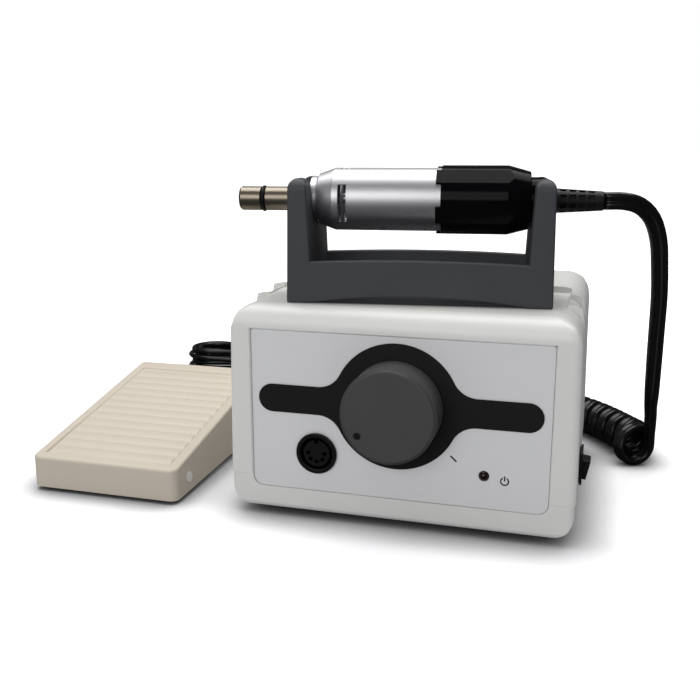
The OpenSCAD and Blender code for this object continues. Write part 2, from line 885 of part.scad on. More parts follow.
module commutator() {
    color([0.75, 0.45, 0.2]) at_handpiece() difference() {
        ucyl(commutator_r, commutator_u, commutator_end);
        ucyl(shaft_r + 0.02, commutator_u - 1, commutator_end + 1);
    }
}

module motor_bearings() {
    color([0.68, 0.68, 0.7]) at_handpiece() for (u = [front_bearing_u, rear_bearing_u]) difference() {
        ucyl(bearing_r - 0.05, u, u + bearing_len);
        ucyl(shaft_r + 0.05, u - 1, u + bearing_len + 1);
    }
}

module stator_magnet() {
    color([0.3, 0.3, 0.32]) at_handpiece() for (a = [20, 200]) rotate(a) translate([0, 0, magnet_u])
        rotate_extrude(angle = 140) translate([magnet_in, 0]) square([casing_in - 0.05 - magnet_in, magnet_len]);
}

module carbon_brushes() {
    color([0.16, 0.16, 0.17]) at_handpiece() for (s = [0, 180]) rotate(s)
        box(-2, 2, commutator_r + 0.2, casing_in - 0.9, brush_u, brush_u + brush_len);
}

module brush_holder() {
    color([0.5, 0.42, 0.3]) at_handpiece() difference() {
        ucyl(casing_in - 0.05, casing_end + 0.2, holder_end);
        ucyl(commutator_r + 0.7, casing_end - 1, rear_bearing_u - 3);
        ucyl(shaft_r + 0.7, rear_bearing_u - 4, holder_end + 1);
        ucyl(bearing_r, rear_bearing_u - 0.1, holder_end + 1);
        box(-2.05, 2.05, -14, 14, brush_u - 0.05, brush_u + brush_len + 0.05);
    }
}

module nose_cone() {
    color([0.82, 0.82, 0.84]) at_handpiece() difference() {
        union() {
            ucone(8.6, 9, nose_u, nose_u + 0.4);
            ucyl(9, nose_u + 0.4, 9.6);
            ucyl(8.4, 9, 11);
            ucone(casing_r - 2.3, casing_r - 0.1, cone_u, casing_u);
        }
        ucyl(6.05, nose_u - 1, 10.05);
        ucyl(4, 9, 12);
        ucyl(bearing_r, front_bearing_u - 0.1, casing_u + 1);
    }
}

module motor_casing() {
    color([0.78, 0.78, 0.8]) at_handpiece() difference() {
        ucyl(casing_r, casing_u, casing_end);
        ucyl(casing_in, casing_u - 1, casing_end + 1);
        for (i = [0, 1]) for (a = [0, 120, 240]) rotate(a) translate([0, 0, vent_u + i * vent_pitch])
            rotate_extrude(angle = vent_arc) translate([casing_in - 1, 0]) square([3, vent_w]);
    }
}

module rear_sleeve() {
    flat_d = sleeve_r - 0.5;
    color([0.06, 0.06, 0.06]) at_handpiece() difference() {
        union() {
            ucyl(sleeve_r, sleeve_u + tab_len, sleeve_taper_u);
            ucone(sleeve_r, sleeve_r - 2.35, sleeve_taper_u, sleeve_end);
            intersection() {
                ucyl(sleeve_r, sleeve_u, sleeve_u + tab_len + 1);
                for (i = [0 : 4]) rotate(295 + 72 * i) box(5, 20, -3.6, 3.6, sleeve_u - 1, sleeve_u + tab_len + 2);
            }
        }
        for (i = [0 : 4]) rotate(295 + 72 * i) box(flat_d, 20, -10, 10, sleeve_u - 1, sleeve_end + 1);
        ucyl(casing_r + 0.05, sleeve_u - 1, casing_end + 0.1);
        ucyl(casing_in + 0.05, casing_end, 88);
        ucyl(5.2, 87, sleeve_end + 1);
    }
}

module end_cap() {
    color([0.12, 0.12, 0.12]) at_handpiece() difference() {
        union() {
            ucyl(9, sleeve_end, cap_end - 1);
            ucone(9, 8, cap_end - 1, cap_end);
            ucyl(5.1, 88.4, sleeve_end + 1);
        }
        ucyl(4, 88, cap_end + 1);
    }
}

module cord_boot() {
    rows = 5;
    pitch = 3.6;
    color([0.1, 0.1, 0.1]) at_handpiece() difference() {
        union() {
            ucyl(3.9, 90, cap_end + 1);
            ucone(5, 3.7, cap_end, boot_end);
        }
        for (i = [0 : rows - 1]) for (a = [0 : 45 : 135])
            rotate(a + 22.5) for (s = [-1, 1])
                box(s > 0 ? 3 : -7, s > 0 ? 7 : -3, -0.9, 0.9, cap_end + 1.6 + i * pitch, cap_end + 3.8 + i * pitch);
    }
}

// Where the boot ends and where the curls begin, in the unit frame
along = [cos(cradle_turn), sin(cradle_turn), 0];
across = [-sin(cradle_turn), cos(cradle_turn), 0];
boot_tip = [cradle_x, cradle_y, deck_z + axis_h] + boot_end * along + cradle_w / 2 * across;
curl_along0 = [cos(curl_dir0), sin(curl_dir0), 0];
curl_right0 = [sin(curl_dir0), -cos(curl_dir0), 0];
// The cord comes down before the open end of the curls and turns under it: along, right and height
curl_lead_in = [[0, 1, 18], [0, 1, 18 - lead_w], [0.4, 0.3, 7], [1.3, -1.9, 4]];
function curl_lead_point(q) = [curl_x0, curl_y0, q[2]] + q[0] * curl_along0 + q[1] * curl_right0;
lead_k = boot_tip[2] / 126.2;
lead_end = curl_lead_point(curl_lead_in[0]) + [0, 0, 0.3];
lead_route = [boot_tip, boot_tip + 8 * along, [85, 46.5, 124.5 * lead_k], [90, 50, 119.5 * lead_k],
    [93.2, 54, 111 * lead_k], [94.8, 60, 100 * lead_k], [96.1, 68, 87 * lead_k], [97.3, 77.8, 71 * lead_k],
    [98.3, 87, 54 * lead_k], [99, 95.3, 38], lead_end + [-0.5, -3, 11.7], lead_end + [0, 0, 6], lead_end];

module handpiece_cord() {
    echo(lead_length = path_length(spline(lead_route, 3)));
    color([0.07, 0.07, 0.07]) at_set()
        cord(lead_route, 3, flat_section(lead_w, lead_t), [0, 1, 0], curl_along0);
}

// Axis of the curls at a distance along it: point and heading
function curl_heading(s) = curl_dir0 + 180 / PI * min(max(s - curl_run0, 0), curl_bend_r * curl_bend_deg * PI / 180)
    / curl_bend_r;
function curl_point(s) = let (
    h0 = curl_dir0,
    bend = curl_bend_r * curl_bend_deg * PI / 180,
    a = [curl_x0, curl_y0] + min(s, curl_run0) * [cos(h0), sin(h0)],
    h1 = curl_heading(s),
    b = a + curl_bend_r * ([sin(h1), -cos(h1)] - [sin(h0), -cos(h0)]),
    over = max(s - curl_run0 - bend, 0))
    b + over * [cos(h1), sin(h1)];
function curl_axis_point(f) = let (p = curl_point(f * curl_pitch)) [p[0], p[1], curl_z];
function curl_out(f) = let (h = curl_heading(f * curl_pitch), a = 360 * f)
    cos(a) * [sin(h), -cos(h), 0] + sin(a) * [0, 0, -1];
function curl_centre(f) = curl_axis_point(f) + curl_r * curl_out(f);
curl_first = 3;
curl_last = curl_count * curl_rings;
curl_path = concat([for (q = curl_lead_in) curl_lead_point(q)],
    [for (i = [curl_first : curl_last]) curl_centre(i / curl_rings)],
    [curl_centre(curl_count) - lead_w * [0, 1, 0]]);
curl_normals = concat([for (k = [0, 0, 1 / 3, 2 / 3]) unit(mix(curl_along0, curl_out(curl_first / curl_rings), k))],
    [for (i = [curl_first : curl_last]) curl_out(i / curl_rings)], [curl_out(curl_count)]);

module curly_cord() {
    last = len(curl_path) - 1;
    section = curl_section(lead_w, lead_t);
    function heading(i) = i <= 1 ? [0, 0, -1] : i >= last - 1 ? [0, -1, 0] : tangent(curl_path, i);
    rings = [for (i = [0 : last]) ring(curl_path[i], heading(i), curl_normals[i], section)];
    gaps = [for (i = [0 : last]) for (j = [i + 6 : min(i + 10, last)]) for (p = rings[i]) for (q = rings[j])
        norm(p - q)];
    echo(curl_length = path_length(curl_path), curl_gap = min(gaps), curl_end = curl_path[last]);
    color([0.07, 0.07, 0.07]) at_set() tube(rings);
}

curl_finish = curl_path[len(curl_path) - 1];
tail_route = [curl_finish + [0, -0.3, 0], curl_finish + [0, -7, 0], curl_finish + [0.7, -13.6, 0],
    [-31, 148.6, curl_finish[2]], [-22.5, 144.8, curl_finish[2] + 0.2], [-12, plug_y, 4], [-5, plug_y, 6.6],
    [plug_x, plug_y, plug_z]];

module cord_tail() {
    echo(tail_length = path_length(spline(tail_route, 3)));
    color([0.07, 0.07, 0.07]) at_set() cord(tail_route, 3, flat_section(lead_w, lead_t), [0, 0, 1], [0, 0, 1]);
}

module cord_plug() {
    color([0.08, 0.08, 0.08]) at_set() translate([plug_x, plug_y, plug_z]) difference() {
        union() {
            translate([12, 0, 0]) rotate([0, -90, 0]) cylinder(r1 = 5.4, r2 = 4.2, h = 12);
            xcyl(7, 12, 36);
        }
        for (x = [15 : 3 : 30]) translate([x, 0, 0]) difference() {
            xcyl(9, 0, 1);
            xcyl(6.6, -1, 2);
        }
    }
}

module plug_contacts() {
    color([0.72, 0.72, 0.74]) at_set() translate([plug_x + 36, plug_y, plug_z]) {
        difference() {
            xcyl(6.4, 0, 8);
            xcyl(5.7, -1, 9);
        }
        for (a = din_angles())
            translate([0, din_pin_circle * cos(a), din_pin_circle * sin(a)]) xcyl(0.72, 0, 7.4);
    }
}

// Pedal
module pedal_plan() {
    boxed(pedal_w, pedal_l, pedal_corner_r, pedal_corner_r, pedal_corner_r, pedal_corner_r);
}

module pedal_inside() {
    top0 = pedal_front_h - pedal_top_t;
    y0 = pedal_wall;
    y1 = pedal_l - pedal_wall;
    intersection() {
        extrude_x(pedal_wall, pedal_w - pedal_wall)
            polygon([[y0, -5], [y0, top0 + pedal_slope * y0], [y1, top0 + pedal_slope * y1], [y1, -5]]);
        translate([pedal_wall, pedal_wall, -5]) linear_extrude(80)
            boxed(pedal_w - 2 * pedal_wall, pedal_l - 2 * pedal_wall, 3, 3, 3, 3);
    }
}

// Tread: a shallow tray in the sloping top, with raised cross ribs
module pedal_tread() {
    run = pedal_l - 2 * tread_front - 1;
    pitch = run / rib_count;
    translate([0, 0, pedal_front_h]) rotate([atan(pedal_slope), 0, 0]) difference() {
        translate([tread_side, tread_front, -tread_depth]) linear_extrude(5)
            boxed(pedal_w - 2 * tread_side, run, 1.2, 1.2, 1.2, 1.2);
        for (i = [0 : rib_count - 1]) translate([tread_side - 1, tread_front + pitch * (i + 0.5), -rib_r - rib_below])
            xcyl(rib_r, 0, pedal_w - 2 * tread_side + 2);
    }
}

module pedal_cover() {
    color([0.9, 0.88, 0.82]) at_pedal() difference() {
        union() {
            difference() {
                intersection() {
                    extrude_x(0, pedal_w) polygon([[0, 1.8], [0, pedal_front_h], [pedal_l, pedal_back_h],
                        [pedal_l, 4.5], [14, 4.5], [9, 1.8]]);
                    linear_extrude(80) pedal_plan();
                }
                pedal_inside();
                pedal_tread();
            }
            intersection() {
                union() {
                    translate([pedal_mid, button_y, 0]) ucyl(3, 16.3, 40);
                    translate([pedal_mid, spring_y, 0]) ucyl(6.5, spring_top, 40);
                }
                extrude_x(0, pedal_w) polygon([[0, 0], [0, pedal_front_h - 2], [pedal_l, pedal_back_h - 2],
                    [pedal_l, 0]]);
            }
        }
        translate([0, pivot_y, pivot_z]) xcyl(pivot_r + 0.05, -1, pedal_w + 1);
        box(pedal_mid - 5.5, pedal_mid + 5.5, pedal_l - 5, pedal_l + 1, 0, 16);
    }
}

module pedal_base() {
    color([0.2, 0.2, 0.21]) at_pedal() difference() {
        union() {
            translate([3.2, 3.6, pedal_foot_h]) linear_extrude(base_top - pedal_foot_h)
                boxed(pedal_w - 6.4, pedal_l - 7.4, 3, 3, 3, 3);
            for (x = [4, pedal_w - 8]) extrude_x(x, x + 4) union() {
                translate([pivot_y - 4.2, base_top - 1]) square([8.4, pivot_z - base_top + 1]);
                translate([pivot_y, pivot_z]) circle(4.2);
            }
            box(pedal_mid - 6, pedal_mid + 6, pedal_gland_y - 3, pedal_gland_y, base_top - 1, 13);
        }
        translate([0, pivot_y, pivot_z]) xcyl(pivot_r + 0.03, 0, pedal_w);
        translate([pedal_mid, 0, pedal_gland_z]) ycyl(2.6, pedal_gland_y - 5, pedal_gland_y + 2);
    }
}

module pivot_pin() {
    color([0.92, 0.91, 0.87]) at_pedal() translate([0, pivot_y, pivot_z]) xcyl(pivot_r, -pin_proud, pedal_w + pin_proud);
}

module pedal_spring() {
    curls = 6;
    per = 8;
    rise = spring_top - base_top - 2 * spring_wire_r;
    path = [for (i = [0 : curls * per]) let (a = 360 * i / per, k = i / (curls * per))
        [spring_r * cos(a), spring_r * sin(a), base_top + spring_wire_r + rise * k]];
    color([0.7, 0.7, 0.72]) at_pedal() translate([pedal_mid, spring_y, 0])
        tube([for (i = [0 : len(path) - 1]) ring(path[i], tangent(path, i), [0, 0, 1],
            round_section(spring_wire_r, 6))]);
}

module microswitch() {
    color([0.15, 0.15, 0.16]) at_pedal() translate([pedal_mid, button_y, 0]) difference() {
        box(-3.2, 3.2, -10, 10, base_top, 14);
        ucyl(1.55, 9, 15);
    }
}

module switch_button() {
    color([0.75, 0.15, 0.12]) at_pedal() translate([pedal_mid, button_y, 0]) ucyl(1.5, 11, 16);
}

module pedal_feet() {
    color([0.1, 0.1, 0.1]) at_pedal() for (x = [11, pedal_w - 11]) for (y = [13, pedal_l - 15])
        translate([x, y, 0]) ucyl(5, 0, pedal_foot_h);
}

module pedal_gland() {
    color([0.1, 0.1, 0.1]) at_pedal() translate([pedal_mid, 0, pedal_gland_z]) difference() {
        union() {
            ycyl(2.5, pedal_gland_y - 4.5, pedal_gland_y + 4);
            ycyl(3.8, pedal_gland_y, pedal_gland_y + 1.6);
        }
        ycyl(pedal_cord_d / 2 + 0.05, pedal_gland_y - 6, pedal_gland_y + 6);
    }
}

// Hank of the pedal cord: turns so far, from outside in and out again, one layer up at each reversal
function hank_offset(t) = t < 0 ? 2 - t : abs(t % 4 - 2);
function hank_height(t) = hank_z + hank_layer * (smooth((t - 1.875) * 4) + smooth((t - 3.875) * 4)
    + smooth((t - 5.875) * 4));
function hank_draw(x) = hank_waist * pow(cos(min(abs(x - hank_x) / (hank_run / 2), 1) * 90), 2);
function hank_turn(t) = let (f = (t + 4) % 1) f;
function hank_point(t) = let (
    f = hank_turn(t),
    r = hank_r + hank_step * hank_offset(t),
    half = hank_run / 2,
    q = f <= 1 / 8 ? [-half * f * 8, -r]
        : f < 3 / 8 ? let (a = 270 - (f - 1 / 8) * 4 * 180) [-half + r * cos(a), r * sin(a)]
        : f <= 5 / 8 ? [-half + (f - 3 / 8) * 4 * hank_run, r]
        : f < 7 / 8 ? let (a = 90 - (f - 5 / 8) * 4 * 180) [half + r * cos(a), r * sin(a)]
        : [half - half * (f - 7 / 8) * 8, -r],
    drawn = abs(q[0]) < half ? q[1] - sign(q[1]) * hank_draw(hank_x + q[0]) : q[1])
    [hank_x + q[0], hank_y + drawn, hank_height(t)];
hank_count = (hank_to - hank_from) * hank_rings;
hank_first = hank_point(hank_from) + [pedal_cord_d, 0, 0];
hank_last = hank_point(hank_to) + [pedal_cord_d, 0, 0];
hank_path = concat([hank_first], [for (i = [0 : hank_count]) hank_point(hank_from + i / hank_rings)], [hank_last]);

module cord_hank() {
    last = len(hank_path) - 1;
    gaps = [for (i = [0 : last - 12]) for (j = [i + 12 : last]) norm(hank_path[i] - hank_path[j])];
    echo(hank_length = path_length(hank_path), hank_gap = min(gaps) - pedal_cord_d);
    color([0.08, 0.08, 0.08]) at_set() tube([for (i = [0 : last]) ring(hank_path[i],
        i == 0 ? [-1, 0, 0] : i == last ? [1, 0, 0] : tangent(hank_path, i), [0, 0, 1],
        round_section(pedal_cord_d / 2, 6))]);
}

gland_mouth = [pedal_x + pedal_mid, pedal_y + pedal_gland_y, pedal_gland_z];
cord_floor = pedal_cord_d / 2 + 0.2;
feed_route = [gland_mouth + [0, -3, 0], gland_mouth + [0, 5, 0], gland_mouth + [0.2, 12, -1.5], [-125, 118, 3.4],
    [-121, 134, cord_floor], [-113, 150, cord_floor], [-103, 165, cord_floor], [-95, 180, cord_floor],
    [-93, 190, cord_floor], [-96, 198.6, cord_floor], [-104, 203.6, 2.1], [-113, hank_first[1], hank_z],
    hank_first + [0.3, 0, 0]];
end_route = [hank_last + [0.3, 0, 0], hank_last + [6, 0, -0.2], [-110, 236.8, 9.4], [-100, 234.5, 4.8],
    [-90, 229, cord_floor + 0.3], [-82, 220, cord_floor], [-76, 208, cord_floor], [-70, 195, 3], [-62, 184, 6.5],
    [-52, 176, 12], [-40, 172.3, 18], [-28, 171.5, 22.5], [-17, 171, 26.5], [-8, 169, 29], [-2, 164.5, jack_z],
    [0, jack_mouth + jack_plug_len + 6, jack_z], [0, jack_mouth + jack_plug_len, jack_z]];

module pedal_cord() {
    echo(feed_length = path_length(spline(feed_route, 3)), end_length = path_length(spline(end_route, 3)));
    color([0.08, 0.08, 0.08]) at_set() {
        cord(feed_route, 3, round_section(pedal_cord_d / 2, 8), [0, 0, 1], [0, 0, 1]);
        cord(end_route, 3, round_section(pedal_cord_d / 2, 8), [0, 0, 1], [0, 0, 1]);
    }
}

module hank_tie() {
    reach = hank_r + 2 * hank_step - hank_waist + pedal_cord_d / 2 + 0.5;
    top = hank_z + 3 * hank_layer + pedal_cord_d / 2 + 0.5;
    color([0.1, 0.1, 0.1]) at_set() translate([hank_x, hank_y, 0]) union() {
        difference() {
            extrude_x(-2, 2) translate([-reach - 0.8, 0.1]) boxed(2 * reach + 1.6, top + 0.7, 3, 3, 3, 3);
            extrude_x(-3, 3) translate([-reach, 0.9]) boxed(2 * reach, top - 0.9, 2.2, 2.2, 2.2, 2.2);
        }
        translate([0, -reach + 4, top + 0.2]) rotate([-28, 0, 0]) box(-1.6, 1.6, -16, 0, 0, 0.8);
    }
}

module pedal_plug() {
    color([0.3, 0.3, 0.32]) at_set() translate([0, jack_mouth, jack_z]) union() {
        ycyl(4.4, 0, 3);
        ycyl(5, 2, jack_plug_len);
        difference() {
            ycyl(3.15, -25, 1);
            for (y = [-16, -8]) translate([0, y, 0]) difference() {
                ycyl(5, 0, 0.8);
                ycyl(2.9, -1, 2);
            }
        }
        translate([0, -25, 0]) rotate([90, 0, 0]) cylinder(r1 = 3.15, r2 = 1.2, h = 3.6);
    }
}

echo(set_cx = set_cx, set_cy = set_cy, boot_tip = boot_tip, pedal_x = pedal_x);

upper_housing();
lower_housing();
front_panel();
panel_band();
rear_panel();
speed_knob();
pot_shaft();
potentiometer();
pot_nut();
socket_shell();
socket_insert();
socket_contacts();
power_led();
switch_frame();
power_rocker();
main_board();
board_capacitors();
heat_sink();
transformer_core();
transformer_coil();
mains_gland();
fuse_holder();
fuse_cap();
pedal_jack();
rubber_feet();
housing_screws();
cradle();
coupling_spigot();
spigot_oring();
drive_dog();
rotor_shaft();
rotor_core();
rotor_windings();
commutator();
motor_bearings();
stator_magnet();
carbon_brushes();
brush_holder();
nose_cone();
motor_casing();
rear_sleeve();
end_cap();
cord_boot();
handpiece_cord();
curly_cord();
cord_tail();
cord_plug();
plug_contacts();
pedal_base();
pedal_cover();
pivot_pin();
pedal_spring();
microswitch();
switch_button();
pedal_feet();
pedal_gland();
pedal_cord();
cord_hank();
hank_tie();
pedal_plug();
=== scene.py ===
"""Looks of a dental micromotor set: control unit, cradle, handpiece, foot pedal and cords.

Laid out as a Blender add-on and run as a script. Pieces are in metres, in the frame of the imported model.
"""
from math import atan, cos, pi, radians, sin, sqrt, tau

import bmesh
import bpy
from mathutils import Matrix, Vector


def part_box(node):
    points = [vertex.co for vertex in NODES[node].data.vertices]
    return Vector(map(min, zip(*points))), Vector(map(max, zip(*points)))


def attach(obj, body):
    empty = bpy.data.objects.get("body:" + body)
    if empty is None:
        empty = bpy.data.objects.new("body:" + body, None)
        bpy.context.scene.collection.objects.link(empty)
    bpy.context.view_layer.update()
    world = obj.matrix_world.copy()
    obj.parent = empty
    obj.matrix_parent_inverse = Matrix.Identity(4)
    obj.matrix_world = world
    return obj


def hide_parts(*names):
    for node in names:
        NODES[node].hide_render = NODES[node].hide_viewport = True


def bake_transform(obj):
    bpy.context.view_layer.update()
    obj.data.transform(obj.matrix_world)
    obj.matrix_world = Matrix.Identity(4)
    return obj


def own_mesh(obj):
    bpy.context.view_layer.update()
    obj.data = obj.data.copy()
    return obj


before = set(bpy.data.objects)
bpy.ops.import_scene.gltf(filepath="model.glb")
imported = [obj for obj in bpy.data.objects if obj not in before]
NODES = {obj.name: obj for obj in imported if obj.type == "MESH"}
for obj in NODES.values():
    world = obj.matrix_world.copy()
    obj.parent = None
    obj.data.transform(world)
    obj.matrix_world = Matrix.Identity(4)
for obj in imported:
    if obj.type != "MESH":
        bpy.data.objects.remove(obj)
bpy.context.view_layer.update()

bl_info = {
    "name": "Dental Micromotor Set",
    "version": (1, 0, 0),
    "blender": (4, 5, 0),
    "location": "View3D > Sidebar > Micromotor",
    "description": "Dresses the packed micromotor set with finishes, shaped pieces, cords and a studio stage",
    "category": "Object",
}

MM = 0.001
PANEL_LOW, PANEL_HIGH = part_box("front_panel")
UNIT_X = (PANEL_LOW.x + PANEL_HIGH.x) / 2
UNIT_Y = PANEL_LOW.y
CRADLE_TURN = radians(7.2)
# How far a cutter stands past what it cuts, and how long one is that goes right through, in millimetres
OVERCUT = 5
CUTTER = 30


def at_unit(x, y, z):
    """A point in millimetres from the foot of the label's middle, in the frame of the model."""
    return Vector((UNIT_X + x * MM, UNIT_Y + y * MM, z * MM))


def in_unit(point):
    """A point of the model in millimetres from the foot of the label's middle."""
    return (point - at_unit(0, 0, 0)) / MM


def linear(hex_colour):
    """An sRGB hex value as linear red, green, blue and alpha."""
    parts = [int(hex_colour[i:i + 2], 16) / 255 for i in (1, 3, 5)]
    return [p / 12.92 if p <= 0.04045 else ((p + 0.055) / 1.055) ** 2.4 for p in parts] + [1.0]


def per_metre(width_mm):
    """Texture scale at which one feature is about that many millimetres wide."""
    return 1 / (width_mm * MM)


# Sizes and colours that a user would change
def colour(name, description, hex_colour):
    """A colour field whose default is given as an sRGB hex value."""
    return bpy.props.FloatVectorProperty(
        name=name, description=description, default=linear(hex_colour), subtype="COLOR", size=4, min=0, max=1)


class FinishColours(bpy.types.PropertyGroup):
    """Colours of the set's finishes."""
    housing: colour("Housing", "White ABS of the two housing halves", "#DEDEDB")
    label: colour("Label", "Pale grey sheet of the front label", "#DBDBDC")
    band: colour("Band", "Printed black band behind the knob", "#181819")
    knob: colour("Knob", "Dark grey of the speed knob", "#444445")
    cradle: colour("Cradle", "Grey rubber of the cradle", "#3A3C40")
    casing: colour("Casing", "Satin silver of the motor casing", "#C9C9CC")
    spigot: colour("Spigot", "Polished steel of the coupling spigot", "#857D70")
    sleeve: colour("Sleeve", "Gloss black of the rear sleeve", "#08080A")
    cord: colour("Cord", "Black jacket of the cords", "#0A0A0C")
    pedal: colour("Pedal", "Ivory ABS of the pedal cover", "#C9BFB0")


def length_field(name, description, millimetres):
    """A length field whose default is given in millimetres."""
    return bpy.props.FloatProperty(
        name=name, description=description, default=millimetres * MM, unit="LENGTH")


class CordSizes(bpy.types.PropertyGroup):
    """Sections of the two cords."""
    lead_width: length_field("Lead width", "Width of the flat twin cord of the handpiece", 6.8)
    lead_thickness: length_field("Lead thickness", "Thickness of the flat twin cord", 3.4)
    curl_radius: length_field("Curl radius", "Mean radius of the curls", 7.5)
    pedal_diameter: length_field("Pedal cord diameter", "Diameter of the pedal's round cord", 3)


class StageSettings(bpy.types.PropertyGroup):
    """Camera and lamps of the studio."""
    lens: bpy.props.FloatProperty(
        name="Lens", description="Focal length on a 36 mm sensor", default=44.985, unit="CAMERA")
    key_power: bpy.props.FloatProperty(
        name="Key power", description="Power of the large lamp overhead", default=9.6, unit="POWER")
    fill_power: bpy.props.FloatProperty(
        name="Fill power", description="Power of the lamp beside the camera", default=3.5, unit="POWER")


# Finishes
METAL = {"Metallic": 1.0}
SHEEN = {"Specular IOR Level": 0.35}
DULL = {"Specular IOR Level": 0.3}
MATT = {"Specular IOR Level": 0.2}
# Grain drawn out into rings round the handpiece's axis
RINGS = (1, 0.08, 0.08)
# Share by which the gloss follows the grain
GLOSS_DRIFT = 0.1
# Sockets of a colour mix, given by number because other kinds of mix share their names
MIX_A = 6
MIX_B = 7
MIX_OUT = 2


def node(material, kind, settings=None, links=None):
    """Adds a shader node.

    Settings are socket values or fields, and links bring an earlier node's output to a socket.
    """
    made = material.node_tree.nodes.new("ShaderNode" + kind)
    for key, value in (settings or {}).items():
        if isinstance(key, str) and key not in made.inputs:
            setattr(made, key, value)
        else:
            made.inputs[key].default_value = value
    for key, (source, output) in (links or {}).items():
        material.node_tree.links.new(source.outputs[output], made.inputs[key])
    return made


def shade(tone, factor):
    """A linear colour made lighter or darker."""
    return [min(1.0, c * factor) for c in tone[:3]] + [1.0]


def surface(name, tone, roughness, grain, relief, drift=0.04, patch=16.0, stretch=(1, 1, 1), turn=0.0,
            fixed=None):
    """A finish with slow patches of tone and a fine grain, so many millimetres wide and high.

    The gloss follows the grain.
    """
    material = bpy.data.materials.new(name)
    material.use_nodes = True
    shader = material.node_tree.nodes["Principled BSDF"]
    for socket, value in (fixed or {}).items():
        shader.inputs[socket].default_value = value
    place = node(material, "TexCoord")
    laid = node(material, "Mapping", {"Rotation": (0, 0, turn), "Scale": stretch},
                {"Vector": (place, "Object")})
    fine = node(material, "TexNoise", {"Scale": per_metre(grain), "Detail": 3.0},
                {"Vector": (laid, "Vector")})
    patches = node(material, "TexNoise", {"Scale": per_metre(patch), "Detail": 2.0},
                   {"Vector": (place, "Object")})
    dark = shade(tone, 1 - drift)
    pale = shade(tone, 1 + drift)
    tones = node(material, "Mix", {"data_type": "RGBA", MIX_A: dark, MIX_B: pale},
                 {"Factor": (patches, "Fac")})
    gloss = node(material, "MapRange",
                 {"To Min": roughness * (1 - GLOSS_DRIFT), "To Max": roughness * (1 + GLOSS_DRIFT)},
                 {"Value": (fine, "Fac")})
    bump = node(material, "Bump", {"Strength": 1.0, "Distance": relief * MM},
                {"Height": (fine, "Fac")})
    links = material.node_tree.links
    links.new(tones.outputs[MIX_OUT], shader.inputs["Base Color"])
    links.new(gloss.outputs["Result"], shader.inputs["Roughness"])
    links.new(bump.outputs["Normal"], shader.inputs["Normal"])
    return material


def put(material, *names):
    """Gives carried-over nodes one material."""
    for name in names:
        mesh = NODES[name].data
        mesh.materials.clear()
        mesh.materials.append(material)


# Shaping
# Turns that lay an upright rod along the width and along the depth
ALONG_X = (0, pi / 2, 0)
ALONG_Y = (pi / 2, 0, 0)
# How closely an edge lies along an axis, and a face looks along one, as cosines
PARALLEL = 0.99
FACING = 0.9
# Upward share of its normal below which a face is a wall
STEEP = 0.3
# Millimetres within which points are welded, and within which a point lies on a plane
WELD = 0.1
ON_PLANE = 0.02
# Angle below which neighbouring faces count as one
COPLANAR = radians(0.5)


def deselect():
    """Leaves no object selected."""
    bpy.ops.object.select_all(action="DESELECT")


def activate(piece):
    """Makes one object the only one selected, and active."""
    deselect()
    piece.select_set(True)
    bpy.context.view_layer.objects.active = piece


def settled(name):
    """The active object, named, with its place and size in its vertices."""
    bpy.ops.object.transform_apply(location=True, rotation=True, scale=True)
    piece = bpy.context.object
    piece.name = name
    piece.data.name = name
    return piece


def block(name, low, high):
    """A box between two corners, in millimetres of the unit."""
    a, b = at_unit(*low), at_unit(*high)
    deselect()
    bpy.ops.mesh.primitive_cube_add(size=1, location=(a + b) / 2, scale=b - a)
    return settled(name)


def rod(name, middle, radius, length, turn=(0, 0, 0), sides=64):
    """A cylinder in millimetres of the unit, turned from upright."""
    deselect()
    bpy.ops.mesh.primitive_cylinder_add(vertices=sides, radius=radius * MM, depth=length * MM,
                                        location=at_unit(*middle), rotation=turn)
    return settled(name)


def edit(piece, kind, test):
    """Enters edit mode with those faces, edges or vertices selected that pass the test."""
    activate(piece)
    bpy.ops.object.mode_set(mode="EDIT")
    bpy.ops.mesh.select_mode(type=kind)
    bpy.ops.mesh.select_all(action="DESELECT")
    shape = bmesh.from_edit_mesh(piece.data)
    shape.normal_update()
    parts = {"VERT": shape.verts, "EDGE": shape.edges, "FACE": shape.faces}[kind]
    for part in [p for p in parts if test(p)]:
        part.select_set(True)
    shape.select_flush_mode()
    bmesh.update_edit_mesh(piece.data)


def leave():
    """Goes back to object mode."""
    bpy.ops.object.mode_set(mode="OBJECT")


def every(part):
    """A test that all parts pass."""
    return True


def bevel(piece, width, segments, test):
    """Rounds the edges that pass the test by a width in millimetres."""
    edit(piece, "EDGE", test)
    bpy.ops.mesh.bevel(offset=width * MM, segments=segments, affect="EDGES")
    leave()


def shift(piece, move, test):
    """Moves the corners that pass the test, in millimetres."""
    edit(piece, "VERT", test)
    bpy.ops.transform.translate(value=Vector(move) * MM)
    leave()


def modify(piece, kind, **settings):
    """Adds a modifier, sets it up and applies it."""
    activate(piece)
    modifier = piece.modifiers.new(kind.lower(), kind)
    for key, value in settings.items():
        setattr(modifier, key, value)
    bpy.ops.object.modifier_apply(modifier=modifier.name)


def combine(piece, tool, how):
    """Cuts, joins or intersects a piece with a tool, which is used up."""
    modify(piece, "BOOLEAN", object=tool, operation=how, solver="MANIFOLD")
    bpy.data.objects.remove(tool)


def cut(piece, tool):
    """Takes a tool's space out of a piece."""
    combine(piece, tool, "DIFFERENCE")


def add(piece, tool):
    """Makes a tool part of a piece."""
    combine(piece, tool, "UNION")


def rounded(piece, width, segments=3, angle=40):
    """Rounds the sharp edges of a piece by a width in millimetres."""
    modify(piece, "BEVEL", width=width * MM, segments=segments, limit_method="ANGLE",
           angle_limit=radians(angle), use_clamp_overlap=False)


def lies_along(edge, axis):
    """Whether an edge runs along one of the axes."""
    run = (edge.verts[1].co - edge.verts[0].co).normalized()
    return abs(run[axis]) > PARALLEL


